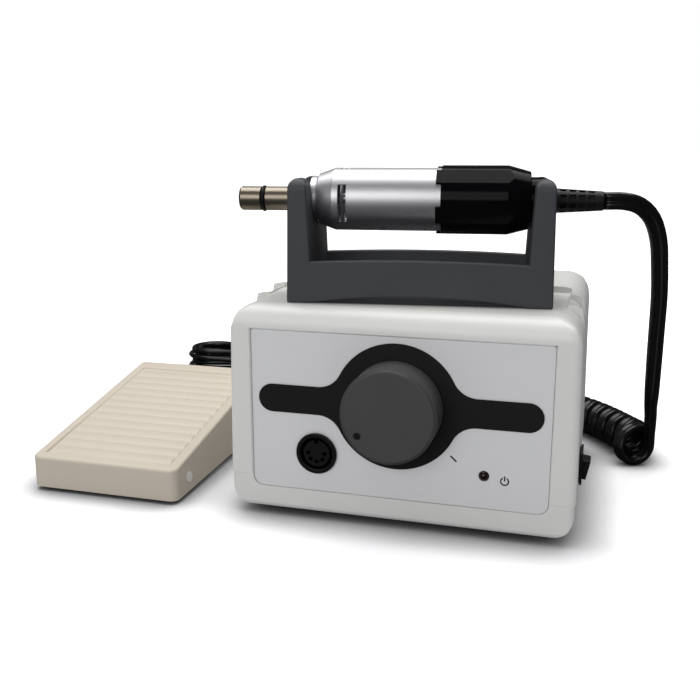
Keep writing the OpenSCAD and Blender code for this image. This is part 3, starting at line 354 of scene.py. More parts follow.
def faces_up(face):
    """Whether a face looks upwards, or nearly so."""
    return face.normal.z > FACING


def joined(pieces):
    """Several pieces as one."""
    activate(pieces[0])
    for piece in pieces[1:]:
        piece.select_set(True)
    bpy.ops.object.join()
    return bpy.context.object


def softened(name, width, angle=40):
    """A copy of a carried-over node, its sharp edges rounded by a width in millimetres if one is given."""
    source = NODES[name]
    piece = bpy.data.objects.new(name + "_rounded", source.data.copy())
    bpy.context.scene.collection.objects.link(piece)
    piece.matrix_world = source.matrix_world
    activate(piece)
    settled(name + "_rounded")
    bpy.ops.mesh.customdata_custom_splitnormals_clear()
    edit(piece, "VERT", every)
    bpy.ops.mesh.remove_doubles(threshold=WELD * MM)
    bpy.ops.mesh.dissolve_limited(angle_limit=COPLANAR)
    leave()
    if width:
        rounded(piece, width, angle=angle)
    return piece


def finish(piece, body, slot, material, *nodes, angle=35):
    """Shading, finish and body of a piece, and hides the nodes that it stands for. The slot is not used."""
    activate(piece)
    bpy.ops.object.shade_smooth_by_angle(angle=radians(angle))
    modify(piece, "WEIGHTED_NORMAL", keep_sharp=True)
    piece.data.materials.clear()
    piece.data.materials.append(material)
    if nodes:
        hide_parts(*nodes)
    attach(piece, body)


def dress(name, width, body, slot, material, angle=40):
    """A rounded copy of a carried-over node, finished, that stands for the node."""
    piece = softened(name, width, angle)
    finish(piece, body, slot, material, name)
    return piece


# Curves of the cords
def spline(points, steps):
    """Points of a smooth curve through unevenly spaced points, with so many steps between two of them."""
    ends = [2 * points[0] - points[1]] + points + [2 * points[-1] - points[-2]]
    out = []
    for a, b, c, d in zip(ends, ends[1:], ends[2:], ends[3:]):
        before, here, after = (sqrt((q - p).length) for p, q in ((a, b), (b, c), (c, d)))
        start = ((b - a) / before - (c - a) / (before + here) + (c - b) / here) * here
        stop = ((c - b) / here - (d - b) / (here + after) + (d - c) / after) * here
        for s in range(steps):
            t = s / steps
            out.append(b + start * t + (3 * (c - b) - 2 * start - stop) * t ** 2
                       + (2 * (b - c) + start + stop) * t ** 3)
    return out + [points[-1]]


def places(*rows, start=Vector((0, 0, 0))):
    """Points given by their distances from a start."""
    return [start + Vector(row) for row in rows]


def between(values, steps):
    """Values in equal steps between each two of the given ones."""
    out = [a.lerp(b, s / steps) for a, b in zip(values, values[1:]) for s in range(steps)]
    return out + [values[-1]]


def ease(k):
    """A soft step from 0 to 1."""
    k = min(max(k, 0), 1)
    return k * k * (3 - 2 * k)


def sweep(name, path, normals, section, material):
    """A closed tube: the section's first axis lies across the path, its second along the normal."""
    count = len(section)
    points = []
    for i, point in enumerate(path):
        tangent = (path[min(i + 1, len(path) - 1)] - path[max(i - 1, 0)]).normalized()
        across = normals[i].cross(tangent).normalized()
        up = tangent.cross(across)
        points += [point + s * across + t * up for s, t in section]
    faces = []
    for i in range(len(path) - 1):
        for j in range(count):
            k = (j + 1) % count
            faces.append((i * count + j, i * count + k, (i + 1) * count + k, (i + 1) * count + j))
    faces.append(tuple(reversed(range(count))))
    faces.append(tuple(range((len(path) - 1) * count, len(path) * count)))
    mesh = bpy.data.meshes.new(name)
    mesh.from_pydata(points, [], faces)
    mesh.update()
    for face in mesh.polygons:
        face.use_smooth = len(face.vertices) == 4
    mesh.materials.append(material)
    piece = bpy.data.objects.new(name, mesh)
    bpy.context.scene.collection.objects.link(piece)
    return piece


# Housing, in millimetres of the unit
HALF_WIDTH = 69
BEZEL = 1
DEPTH = 120
FOOT = 3
SEAM = 17
SEAM_ROUND = 0.4
LOWER_INSET = 0.4
DECK = 86.7
LEAN = 1.4 / (DECK - FOOT)
CORNER = 10
TOP_RADIUS = 8.5
FRONT_RADIUS = 3
BACK_RADIUS = 5
RIDGE = 2.6
STEP_FRONTS = (27, 46)
STEP_FOOT = 40
STEP_INSET = 0.15
WELL_HALF = 61
WELL_BACK = 62.6
WELL_SUNK = 0.1
WELL_ROUND = 0.8
WALL = 2.5
SIDE_WALL = 3.4
CAVITY_CORNER = 8
LABEL_HALF = 58.75
LABEL_LOW = 12.45
LABEL_HIGH = 77.25
LABEL_CORNER = 4
LABEL_SUNK = 0.3
# Steps of the flared rim round the label: how far forward each goes, and by how much it widens
RIM_STEPS = ((0.3, 0.12), (0.25, 0.25), (0.3, 0.45))
REAR_HALF = 56.15
REAR_HIGH = 77.15
# Depth and height of the switch opening's two corners
SWITCH_LOW = (15.1, 20.8)
SWITCH_HIGH = (24.9, 32.6)
SCREW_PLACES = [(x, y) for x in (-58, 58) for y in (9.7, 108)]
SCREW_RADIUS = 1.75
SEAT_RADIUS = 3.4
SEAT_TOP = 12
SCREW_POST_RADIUS = 5
SCREW_POST_TOP = 24


def leaning_block(name, inset, y0, z0, z1, front, front_top):
    """A block as wide as the housing, leaning in towards the top, with edges of different radii."""
    half = HALF_WIDTH - inset - LEAN * (z0 - FOOT)
    piece = block(name, (-half, y0, z0), (half, DEPTH - inset, z1))
    edit(piece, "FACE", faces_up)
    bpy.ops.transform.resize(value=(1 - LEAN * (z1 - z0) / half, 1, 1), center_override=at_unit(0, 0, z1))
    leave()
    mesh = piece.data
    weights = mesh.attributes.new("bevel_weight_edge", "FLOAT", "EDGE")
    for edge in mesh.edges:
        a, b = (in_unit(mesh.vertices[i].co) for i in edge.vertices)
        middle = (a + b) / 2
        if abs(a.y - b.y) > 1:
            radius = CORNER
        elif middle.y > DEPTH / 2:
            radius = BACK_RADIUS
        elif middle.z > z1 - 1:
            radius = front_top
        else:
            radius = front
        weights.data[edge.index].value = radius / CORNER
    modify(piece, "BEVEL", width=CORNER * MM, segments=10, limit_method="WEIGHT", use_clamp_overlap=False)
    return piece


def screw_rods(name, radius, z0, z1):
    """One rod at each screw."""
    return joined([rod(name, (x, y, (z0 + z1) / 2), radius, z1 - z0, sides=32) for x, y in SCREW_PLACES])


def half_of(piece, name, above):
    """A copy of the part of a block above or below the seam, closed there and with that edge rounded."""
    activate(piece)
    bpy.ops.object.duplicate()
    half = bpy.context.object
    half.name = half.data.name = name
    edit(half, "VERT", every)
    bpy.ops.mesh.bisect(plane_co=at_unit(0, 0, SEAM), plane_no=(0, 0, 1), use_fill=True, clear_inner=above,
                        clear_outer=not above)
    leave()
    bevel(half, SEAM_ROUND, 2, lambda e: all(abs(v.co.z - SEAM * MM) < ON_PLANE * MM for v in e.verts))
    return half


def label_opening():
    """Cutter for the label: round corners below, nearly sharp ones above, and a rim that flares forward."""
    cutter = block("label_opening", (-LABEL_HALF, -LABEL_SUNK, LABEL_LOW), (LABEL_HALF, OVERCUT, LABEL_HIGH))
    height = LABEL_HIGH - LABEL_LOW
    middle = at_unit(0, 0, LABEL_LOW + height / 2)
    bevel(cutter, LABEL_CORNER, 6, lambda e: lies_along(e, 1) and e.verts[0].co.z < middle.z)
    edit(cutter, "FACE", lambda f: f.normal.y < -FACING)
    for forward, grow in RIM_STEPS:
        bpy.ops.mesh.extrude_region_move(TRANSFORM_OT_translate={"value": (0, -forward * MM, 0)})
        bpy.ops.transform.resize(value=(1 + grow / LABEL_HALF, 1, 1 + 2 * grow / height),
                                 center_override=middle)
    leave()
    return cutter


class MICROMOTOR_OT_housing(bpy.types.Operator):
    """Two halves of the housing: rounded outside, hollow inside, open for the panels and the switch"""
    bl_idname = "micromotor.housing"
    bl_label = "Housing"

    def execute(self, context):
        whole = leaning_block("whole_shell", 0, -BEZEL, FOOT, DECK, FRONT_RADIUS, TOP_RADIUS)
        upper = half_of(whole, "upper_shell", True)
        lower = half_of(whole, "lower_shell", False)
        bpy.data.objects.remove(whole)
        edit(lower, "VERT", every)
        bpy.ops.transform.resize(value=(1 - LOWER_INSET / HALF_WIDTH, 1 - LOWER_INSET / (DEPTH / 2), 1),
                                 center_override=at_unit(0, (DEPTH - BEZEL) / 2, 0))
        leave()
        for number, front in enumerate(STEP_FRONTS, 1):
            rise = RIDGE * number / 2
            inset = STEP_INSET * front / STEP_FRONTS[0]
            step = leaning_block("step", inset, front, STEP_FOOT - rise, DECK + rise, RIDGE / 2, RIDGE / 2)
            well = block("well", (-WELL_HALF, front - OVERCUT, DECK - WELL_SUNK),
                         (WELL_HALF, WELL_BACK, DECK + RIDGE + OVERCUT))
            rounded(well, WELL_ROUND)
            cut(step, well)
            add(upper, step)
        side = HALF_WIDTH - SIDE_WALL
        for half in (upper, lower):
            cavity = block("cavity", (-side, WALL, FOOT + WALL), (side, DEPTH - WALL, DECK - WALL))
            bevel(cavity, CAVITY_CORNER, 4, lambda e: lies_along(e, 1))
            cut(half, cavity)
            cut(half, label_opening())
            rear = block("rear_opening", (-REAR_HALF, DEPTH - OVERCUT, LABEL_LOW),
                         (REAR_HALF, DEPTH + OVERCUT, REAR_HIGH))
            cut(half, rear)
        switch = block("switch_opening", (HALF_WIDTH - OVERCUT, *SWITCH_LOW),
                       (HALF_WIDTH + OVERCUT, *SWITCH_HIGH))
        cut(upper, switch)
        add(lower, screw_rods("posts", SCREW_POST_RADIUS, FOOT + 1, SCREW_POST_TOP))
        cut(lower, screw_rods("screw_holes", SCREW_RADIUS, 0, SCREW_POST_TOP + 1))
        cut(lower, screw_rods("screw_seats", SEAT_RADIUS, 0, SEAT_TOP))
        # Moulded ABS: satin white with a fine spark-eroded grain
        abs_white = surface("moulded_white_abs", context.scene.micromotor_colours.housing, roughness=0.36,
                            grain=0.7, relief=0.01, drift=0.012)
        finish(upper, "unit", "white_abs", abs_white, "upper_housing", angle=25)
        finish(lower, "unit", "white_abs", abs_white, "lower_housing", angle=25)
        return {"FINISHED"}


# Cradle, shaped along its own length in millimetres and then turned into place
CRADLE_LENGTH = 103
CRADLE_WIDTH = 41.1
CRADLE_HEIGHT = 48.2
CRADLE_PLACE = (-46.5, 8, DECK)
CRADLE_EDGE = 0.8
POST_FOOT = 10.3
POST_LEAN = 0.9
POST_TOP = 8
POST_ROUND = 3.4
POST_CORNER = 5
NOTCH_RADIUS = 9.4
NOTCH_HEIGHT = 39.5
RAIL = 3
RAIL_END = 2
RAIL_SUNK = 0.05
RAIL_TOP = 17.4
RAIL_TOP_RADIUS = 885
RAIL_ARCH = 3.2
RAIL_ARCH_RADIUS = 290
# Ends, sides, foot and top of the thin rubber sheet that darkens the gap under the arched rails: painted
# shade
GAP_SHEET_END = 5
GAP_SHEET_SIDE = 1.6
GAP_SHEET_LOW = 0.03
GAP_SHEET_HIGH = 0.33


def is_high(corner):
    """Whether a corner lies in the upper half of the cradle."""
    return corner.co.z > CRADLE_HEIGHT * MM / 2


def upright(name, outer, inner, outer_top, inner_top):
    """One post of the cradle between two places along it, narrower towards its rounded top."""
    piece = block(name, (min(outer, inner), 0, 0), (max(outer, inner), CRADLE_WIDTH, CRADLE_HEIGHT))
    for place, goal in ((outer, outer_top), (inner, inner_top)):
        side = at_unit(place, 0, 0).x
        shift(piece, (goal - place, 0, 0), lambda v: is_high(v) and abs(v.co.x - side) < ON_PLANE * MM)
    bevel(piece, POST_ROUND, 8, lambda e: all(is_high(v) for v in e.verts) and lies_along(e, 1))
    middle = (outer + inner) / 2
    half = CRADLE_WIDTH / 2
    ends = block("post_ends", (middle - POST_FOOT, 0, -1), (middle + POST_FOOT, CRADLE_WIDTH, CRADLE_HEIGHT))
    bevel(ends, POST_CORNER, 6, lambda e: all(is_high(v) for v in e.verts) and lies_along(e, 0))
    notch = rod("notch", (middle, half, NOTCH_HEIGHT), NOTCH_RADIUS, CUTTER, turn=ALONG_X, sides=96)
    cut(ends, notch)
    mouth = block("mouth", (middle - CUTTER / 2, half - NOTCH_RADIUS, NOTCH_HEIGHT),
                  (middle + CUTTER / 2, half + NOTCH_RADIUS, CRADLE_HEIGHT + OVERCUT))
    cut(ends, mouth)
    combine(piece, ends, "INTERSECT")
    rounded(piece, CRADLE_EDGE)
    return piece


def rail(name, y0):
    """One long rail: a slightly arched top and a low arch under it."""
    piece = block(name, (RAIL_END, y0, RAIL_SUNK), (CRADLE_LENGTH - RAIL_END, y0 + RAIL, RAIL_TOP + OVERCUT))
    x, y = CRADLE_LENGTH / 2, y0 + RAIL / 2
    top = rod("rail_top", (x, y, RAIL_TOP - RAIL_TOP_RADIUS), RAIL_TOP_RADIUS, CUTTER, turn=ALONG_Y,
              sides=2048)
    combine(piece, top, "INTERSECT")
    arch = rod("rail_arch", (x, y, RAIL_ARCH - RAIL_ARCH_RADIUS), RAIL_ARCH_RADIUS, CUTTER, turn=ALONG_Y,
               sides=1024)
    cut(piece, arch)
    rounded(piece, CRADLE_EDGE)
    return piece


class MICROMOTOR_OT_cradle(bpy.types.Operator):
    """Rubber cradle: two notched posts and two long rails, and a thin sheet between them that darkens the gap
    under the arched rails as painted shade
    """
    bl_idname = "micromotor.cradle"
    bl_label = "Cradle"

    def execute(self, context):
        length = CRADLE_LENGTH
        body = upright("cradle_body", 0, POST_FOOT, POST_LEAN, POST_TOP)
        far_post = upright("far_post", length, length - POST_FOOT, length - POST_LEAN, length - POST_TOP)
        add(body, far_post)
        add(body, rail("front_rail", RAIL_SUNK))
        add(body, rail("back_rail", CRADLE_WIDTH - RAIL - RAIL_SUNK))
        # A thin sheet of the dark rubber under the rails, so that the gap beneath their arches shows dark:
        # painted shade
        dark_gap_sheet = block("dark_gap_sheet", (GAP_SHEET_END, GAP_SHEET_SIDE, GAP_SHEET_LOW),
                    (length - GAP_SHEET_END, CRADLE_WIDTH - GAP_SHEET_SIDE, GAP_SHEET_HIGH))
        add(body, dark_gap_sheet)
        activate(body)
        bpy.ops.transform.rotate(value=-CRADLE_TURN, orient_axis="Z", center_override=at_unit(0, 0, 0))
        bpy.ops.transform.translate(value=Vector(CRADLE_PLACE) * MM)
        settled("cradle_body")
        # Moulded nitrile rubber: dark grey and dull, with a pale bloom in patches
        rubber = surface("moulded_grey_rubber", context.scene.micromotor_colours.cradle, roughness=0.6,
                         grain=0.5, relief=0.015, drift=0.1)
        finish(body, "unit", "grey_rubber", rubber, "cradle")
        return {"FINISHED"}


# Pedal cover, in millimetres
PEDAL_FRONT = 15.4
PEDAL_BACK = 34.9
PEDAL_LOW = 1.8
PEDAL_LIFT = 2.7
PEDAL_CORNER = 3.5
PEDAL_EDGE = 1.2
PEDAL_WALL = 2.2
PEDAL_ROOF = 3.1
TREAD_SIDE = 4.2
TREAD_BACK = 3.5
# Square metres above which an upward face is the tread and not its rim
TREAD_AREA = 3e-3
GROOVE_WALL = 0.35
GROOVE_DEPTH = 0.9
GROOVE_RISE = 0.35
RIBS = 13
RIB_RADIUS = 12
RIB_DEPTH = 12.15
RIB_EDGE = 0.35
RIB_SIDE = 5.2
RIB_START = 5.5
RIB_SPARE = 14.5
# Name, distance from the front, height of the middle, radius and length of the bosses under the cover
BOSSES = (("button_boss", 44.7, 19, 3, 5.4), ("spring_boss", 70, 24.2, 6.5, 4.4))
PIN_ALONG = 12.7
PIN_HEIGHT = 8.5
PIN_RADIUS = 2.35
CORD_NOTCH_HALF = 5.5
CORD_NOTCH_TOP = 16


def wedge(name, low, high, front_top):
    """A block whose top slopes up towards the back."""
    piece = block(name, low, high)
    middle = (low[1] + high[1]) / 2
    shift(piece, (0, 0, front_top - high[2]),
          lambda v: v.co.z > (high[2] - ON_PLANE) * MM and in_unit(v.co).y < middle)
    return piece


def tread_ribs(x0, x1, y0, length, slope):
    """Low ribs across the tread: rods laid into its slope, of which only the top is kept."""
    lean = atan(slope)
    away = Vector((0, -sin(lean), cos(lean)))
    pitch = (length - RIB_SPARE) / RIBS
    ribs = []
    for i in range(RIBS):
        along = RIB_START + pitch * (i + 0.5)
        ridge = Vector(((x0 + x1) / 2, y0 + along * cos(lean), PEDAL_FRONT + along * sin(lean)))
        piece = rod("rib", ridge - RIB_DEPTH * away, RIB_RADIUS, x1 - x0, turn=ALONG_X, sides=256)
        edit(piece, "VERT", every)
        bpy.ops.mesh.bisect(plane_co=at_unit(*(ridge - away)), plane_no=away, use_fill=True, clear_inner=True)
        leave()
        rounded(piece, RIB_EDGE, segments=2)
        ribs.append(piece)
    return ribs


def is_tread(face):
    """Whether a face is the tread and not its rim."""
    return faces_up(face) and face.calc_area() > TREAD_AREA


def is_rim_edge(edge):
    """Whether an edge lies between the top and a wall."""
    lifts = [face.normal.z for face in edge.link_faces]
    return max(lifts) > FACING and min(lifts) < STEEP


class MICROMOTOR_OT_pedal_cover(bpy.types.Operator):
    """Pedal cover: a sloping shell with a grooved rim, low cross ribs and rounded edges"""
    bl_idname = "micromotor.pedal_cover"
    bl_label = "Pedal Cover"

    def execute(self, context):
        low, high = (in_unit(corner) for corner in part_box("pedal_cover"))
        x0, x1, y0, y1 = low.x, high.x, low.y, high.y
        middle = (x0 + x1) / 2
        length = y1 - y0
        slope = (PEDAL_BACK - PEDAL_FRONT) / length

        def is_low_back(corner):
            return corner.co.z < PEDAL_FRONT * MM / 2 and in_unit(corner.co).y > (y0 + y1) / 2

        def is_tread_back(corner):
            place = in_unit(corner.co)
            return x0 + 1 < place.x < x1 - 1 and y1 - 2 * TREAD_SIDE < place.y < y1 - 1

        cover = wedge("pedal_cover_shell", (x0, y0, PEDAL_LOW), (x1, y1, PEDAL_BACK), PEDAL_FRONT)
        shift(cover, (0, 0, PEDAL_LIFT), is_low_back)
        edit(cover, "FACE", faces_up)
        bpy.ops.mesh.inset(thickness=TREAD_SIDE * MM)
        leave()
        shift(cover, (0, -TREAD_BACK, -TREAD_BACK * slope), is_tread_back)
        edit(cover, "FACE", is_tread)
        bpy.ops.mesh.inset(thickness=GROOVE_WALL * MM, depth=-GROOVE_DEPTH * MM)
        bpy.ops.mesh.inset(thickness=GROOVE_WALL * MM, depth=GROOVE_RISE * MM)
        leave()
        bevel(cover, PEDAL_CORNER, 6, lambda e: lies_along(e, 2))
        bevel(cover, PEDAL_EDGE, 4, is_rim_edge)
        drop = PEDAL_ROOF + slope * PEDAL_WALL
        inside = wedge("inside", (x0 + PEDAL_WALL, y0 + PEDAL_WALL, -OVERCUT),
                       (x1 - PEDAL_WALL, y1 - PEDAL_WALL, PEDAL_BACK - drop),
                       PEDAL_FRONT - PEDAL_ROOF + slope * PEDAL_WALL)
        cut(cover, inside)
        for name, along, height, radius, depth in BOSSES:
            add(cover, rod(name, (middle, y0 + along, height), radius, depth))
        hole = rod("pin_hole", (middle, y0 + PIN_ALONG, PIN_HEIGHT), PIN_RADIUS, 3 * CUTTER,
                   turn=ALONG_X)
        cut(cover, hole)
        notch = block("cord_notch", (middle - CORD_NOTCH_HALF, y1 - OVERCUT, 0),
                      (middle + CORD_NOTCH_HALF, y1 + 1, CORD_NOTCH_TOP))
        cut(cover, notch)
        cover = joined([cover] + tread_ribs(x0 + RIB_SIDE, x1 - RIB_SIDE, y0, length, slope))
        # Moulded ivory ABS: satin, with a fine grain
        ivory = surface("moulded_ivory_abs", context.scene.micromotor_colours.pedal, roughness=0.45,
                        grain=0.6, relief=0.012, drift=0.02)
        finish(cover, "pedal_cover", "ivory_abs", ivory, "pedal_cover")
        return {"FINISHED"}


# Rounded copies of the handpiece's shells and of the fittings
class MICROMOTOR_OT_handpiece(bpy.types.Operator):
    """Shells of the handpiece with rounded edges"""
    bl_idname = "micromotor.handpiece"
    bl_label = "Handpiece Shells"

    def execute(self, context):
        c = context.scene.micromotor_colours
        # Satin aluminium, turned on a lathe: fine rings round the axis
        turned = surface("turned_aluminium", c.casing, roughness=0.42, grain=0.2, relief=0.0006,
                         drift=0.02, stretch=RINGS, turn=-CRADLE_TURN, fixed=METAL)
        dress("motor_casing", 0.2, "handpiece", "aluminium", turned)
        dress("nose_cone", 0.25, "handpiece", "aluminium", turned)
        # Polished steel of the spigot: bright and slightly warm, with fine turning marks
        polished = surface("polished_spigot_steel", c.spigot, roughness=0.34, grain=0.25, relief=0.001,
                           drift=0.03, stretch=RINGS, turn=-CRADLE_TURN, fixed=METAL)
        dress("coupling_spigot", 0.2, "handpiece", "aluminium", polished)
        # Gloss black acetal: deep black with narrow bright highlights
        acetal = surface("gloss_black_acetal", c.sleeve, roughness=0.12, grain=0.8, relief=0.001,
                         drift=0.1, fixed={"Specular IOR Level": 0.05})
        dress("rear_sleeve", 0.3, "handpiece", "gloss_sleeve", acetal, angle=11)
        dress("end_cap", 0.3, "handpiece", "black_plastic", acetal)
        # Soft black rubber of the boot: dull, faintly dusty
        boot = surface("soft_boot_rubber", linear("#0E0E0F"), roughness=0.5, grain=0.4, relief=0.012,
                       drift=0.15, fixed=DULL)
        dress("cord_boot", 0.15, "handpiece", "black_rubber", boot)
        return {"FINISHED"}


class MICROMOTOR_OT_fittings(bpy.types.Operator):
    """Switch, socket, knob and pedal base with rounded edges, and the pedal's spring"""
    bl_idname = "micromotor.fittings"
    bl_label = "Fittings"

    def execute(self, context):
        # Black moulded nylon: dark, with a dull sheen on the edges
        nylon = surface("switch_black_nylon", linear("#0C0C0D"), roughness=0.35, grain=0.5, relief=0.008,
                        drift=0.1, fixed=SHEEN)
        dress("switch_frame", 0.35, "unit", "black_plastic", nylon)
        dress("power_rocker", 0.3, "rocker", "black_plastic", nylon)
        dress("socket_shell", 0.3, "unit", "black_plastic", nylon)
        # Soft-touch ABS of the knob: dark grey, even, faintly worn
        soft_touch = surface("soft_touch_abs", context.scene.micromotor_colours.knob, roughness=0.5,
                             grain=0.4, relief=0.01, drift=0.05, fixed=SHEEN)
        dress("speed_knob", 0.5, "knob", "knob_plastic", soft_touch)
        # Painted steel base: nearly black, with a slight orange-peel
        painted = surface("painted_steel", linear("#1C1C1D"), roughness=0.5, grain=1.2, relief=0.02,
                          drift=0.08, fixed=DULL)
        dress("pedal_base", 0.5, "unit", "pedal_black", painted)
        # Spring steel wire: grey and bright; the spring gets a mesh of its own, since the real one shortens
        # as the pedal goes down
        wire = surface("spring_steel_wire", linear("#A9A9AC"), roughness=0.3, grain=0.3, relief=0.003,
                       fixed=METAL)
        spring = dress("pedal_spring", 0, "unit", "steel", wire)
        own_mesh(spring)
        return {"FINISHED"}


# Marks, in millimetres of the unit, with the middles of the symbol and the tick across and up the label
INK = 0.06
POWER_AT = (42.2, 24.2)
POWER_OUTER = 1.7
POWER_INNER = 1.2
POWER_GAP = 0.7
POWER_BAR = 0.25
# Heights above the symbol's middle at which the gap in its ring and the bar start and end
GAP_LOW = 0.8
GAP_HIGH = 2.8
BAR_LOW = 0.1
BAR_HIGH = 2.1
TICK_AT = (22.7, 31.3)
TICK_HALF_WIDTH = 0.3
TICK_HALF_LENGTH = 1.6
TICK_TURN = radians(48)
# The dot lies in the knob's dimple, left of and below its middle
DOT_LEFT = 11.4
DOT_BELOW = 8.2
DOT_SUNK = 1.1
DOT_RADIUS = 1.3
DOT_THICK = 0.25


class MICROMOTOR_OT_marks(bpy.types.Operator):
    """Printed marks on the label and the dark pointer dot of the knob"""
    bl_idname = "micromotor.marks"
    bl_label = "Marks"

    def execute(self, context):
        # Screen-printed ink: charcoal, matt, laid on the label
        ink = surface("printed_mark_ink", linear("#151516"), roughness=0.5, grain=0.4, relief=0.003,
                      drift=0.05, fixed=MATT)
        x, z = POWER_AT
        symbol = rod("power_symbol", (x, 0, z), POWER_OUTER, 2 * INK, turn=ALONG_Y)
        cut(symbol, rod("inside", (x, 0, z), POWER_INNER, 1, turn=ALONG_Y))
        cut(symbol, block("gap", (x - POWER_GAP, -1, z + GAP_LOW), (x + POWER_GAP, 1, z + GAP_HIGH)))
        add(symbol, block("bar", (x - POWER_BAR, -INK, z + BAR_LOW), (x + POWER_BAR, INK, z + BAR_HIGH)))
        finish(symbol, "unit", "band_film", ink)
        x, z = TICK_AT
        tick = block("full_speed_tick", (x - TICK_HALF_WIDTH, -INK, z - TICK_HALF_LENGTH),
                     (x + TICK_HALF_WIDTH, INK, z + TICK_HALF_LENGTH))
        edit(tick, "VERT", every)
        bpy.ops.transform.rotate(value=TICK_TURN, orient_axis="Y", center_override=at_unit(x, 0, z))
        leave()
        finish(tick, "unit", "band_film", ink)
        low, high = (in_unit(corner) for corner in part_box("speed_knob"))
        middle = (low + high) / 2
        dot = rod("pointer_dot", (middle.x - DOT_LEFT, low.y + DOT_SUNK, middle.z - DOT_BELOW), DOT_RADIUS,
                  DOT_THICK, turn=ALONG_Y)
        finish(dot, "knob", "knob_plastic", ink)
        return {"FINISHED"}


# Route of the handpiece cord, in millimetres of the unit
BOOT_TIP = Vector((71.2679, 43.5909, 126.2))
ALONG = Vector((cos(CRADLE_TURN), sin(CRADLE_TURN), 0))
LEAD_END_HEIGHT = 18.3
# Share of the lead after which its broad side starts to turn
TWIST_FROM = 6 / 11
CURL_START = Vector((98.8, 103.4, 0))
CURL_HEIGHT = 9.4
CURL_PITCH = 8.2
CURL_COUNT = 20.25
CURL_LOOSE = 7.5
CURL_TIGHT = 1.5
CURL_DIRECTION = radians(122)
CURL_RUN = 30
CURL_BEND_RADIUS = 100
CURL_BEND = radians(58)
CURL_STEPS = 24
TWIN_STEPS = 3
# Half the arc of a core that shows, and its steps, in degrees, and the groove's share of a core's radius
CORE_ARC = 130
CORE_STEP = 26
CORE_GROOVE = 0.45


def aside(heading):
    """Direction to the right of a heading."""
    return Vector((sin(heading), -cos(heading), 0))


def curl_heading(s):
    """Heading of the curls' axis, s along it."""
    return CURL_DIRECTION + min(max(s - CURL_RUN, 0) / CURL_BEND_RADIUS, CURL_BEND)


def curl_axis(s):
    """Point of the curls' axis, s along it: straight, a wide bend and straight again."""
    h0, h1 = CURL_DIRECTION, curl_heading(s)
    bent = Vector((sin(h1) - sin(h0), cos(h0) - cos(h1), 0)) * CURL_BEND_RADIUS
    first = Vector((cos(h0), sin(h0), 0)) * min(s, CURL_RUN)
    last = Vector((cos(h1), sin(h1), 0)) * max(s - CURL_RUN - CURL_BEND_RADIUS * CURL_BEND, 0)
    return CURL_START + first + bent + last + Vector((0, 0, CURL_HEIGHT))


def curl_out(turns):
    """Direction from the curls' axis to the cord after so many turns."""
    angle = turns * tau
    return cos(angle) * aside(curl_heading(turns * CURL_PITCH)) - sin(angle) * Vector((0, 0, 1))


def handpiece_route(curl_radius):
    """Control points and broad-side normals of the handpiece cord: lead, curls and tail."""
    right = aside(CURL_DIRECTION)
    lead_end = CURL_START + (curl_radius - CURL_LOOSE) * right + Vector((0, 0, LEAD_END_HEIGHT))
    lead = [BOOT_TIP, BOOT_TIP + 8 * ALONG] + places(
        (85, 46.5, 124.5), (90, 50, 119.5), (93.2, 54, 111), (94.8, 60, 100), (96.1, 68, 87),
        (96.8, 77.8, 71), (97.4, 87, 54), (98, 95.3, 38))
    lead += places((-0.5, -3, 11.7), (0, -0.6, 5), (0, 0, -3), start=lead_end)
    front = Vector((0, 1, 0))
    shares = [i / (len(lead) - 1) for i in range(len(lead))]
    lead_sides = [front.lerp(right, ease((share - TWIST_FROM) / (1 - TWIST_FROM))) for share in shares]
    count = round(CURL_COUNT * CURL_STEPS)
    turns = [CURL_COUNT * i / count for i in range(count + 1)]
    curls = []
    for t in turns:
        loose = CURL_LOOSE * (1 - ease(t / CURL_TIGHT))
        curls.append(curl_axis(t * CURL_PITCH) + curl_radius * curl_out(t) - loose * right)
    curl_sides = [curl_out(t) for t in turns]
    tail = places((0, -7, 0), (0, -13.8, 0), (0.7, -20.4, 0), start=curls[-1])
    tail += places((-31, 148.6, 1.9), (-22.5, 144.8, 2.1), (-12, 144, 4), (-5, 144, 6.6), (2, 144, 7.2))
    tail_sides = [curl_sides[-1]] * len(tail)
    return lead + curls + tail, lead_sides + curl_sides + tail_sides


def twin_section(width, thickness):
    """Outline of a flat twin cord: two round cores with a groove between them."""
    r = thickness / 2
    offset = width / 2 - r
    right = [radians(a) for a in range(-CORE_ARC, CORE_ARC + 1, CORE_STEP)]
    points = [(offset + r * cos(a), r * sin(a)) for a in right]
    points.append((0, CORE_GROOVE * r))
    points += [(-x, y) for x, y in reversed(points[:-1])]
    points.append((0, -CORE_GROOVE * r))
    return points


# Route of the pedal cord, in millimetres of the unit
GLAND_MOUTH = Vector((-127.1, 89.3, 8.5))
HANK_MIDDLE = Vector((-153, 222, 2.7))
HANK_RUN = 50
HANK_RADIUS = 9
HANK_STEP = 3.8
HANK_LAYER = 3.7
HANK_WAIST = 4.5
HANK_FROM = -1 / 8
HANK_TO = 7 + 5 / 8
HANK_STEPS = 24
# Turns after which the hank steps the other way and climbs by a layer
HANK_REVERSALS = (1.875, 3.875, 5.875)
PEDAL_STEPS = 2
PEDAL_SIDES = 12


def hank_point(t):
    """Point of the hank after t turns, which step inwards and out again, one layer higher each way."""
    r = HANK_RADIUS + HANK_STEP * (2 - t if t < 0 else abs(t % 4 - 2))
    half = HANK_RUN / 2
    # The second half of a turn is the first one turned round
    f = (t + 1 / 8) % 1
    side = 1 if f < 1 / 2 else -1
    f %= 1 / 2
    if f <= 1 / 4:
        x, y = half - 4 * f * HANK_RUN, -r
    else:
        a = radians(270) - (f - 1 / 4) * 4 * pi
        x, y = -half + r * cos(a), r * sin(a)
    if abs(x) < half:
        y += HANK_WAIST * cos(abs(x) / half * pi / 2) ** 2
    rise = HANK_LAYER * sum(ease((t - k) * 4) for k in HANK_REVERSALS)
    return HANK_MIDDLE + Vector((side * x, side * y, rise))


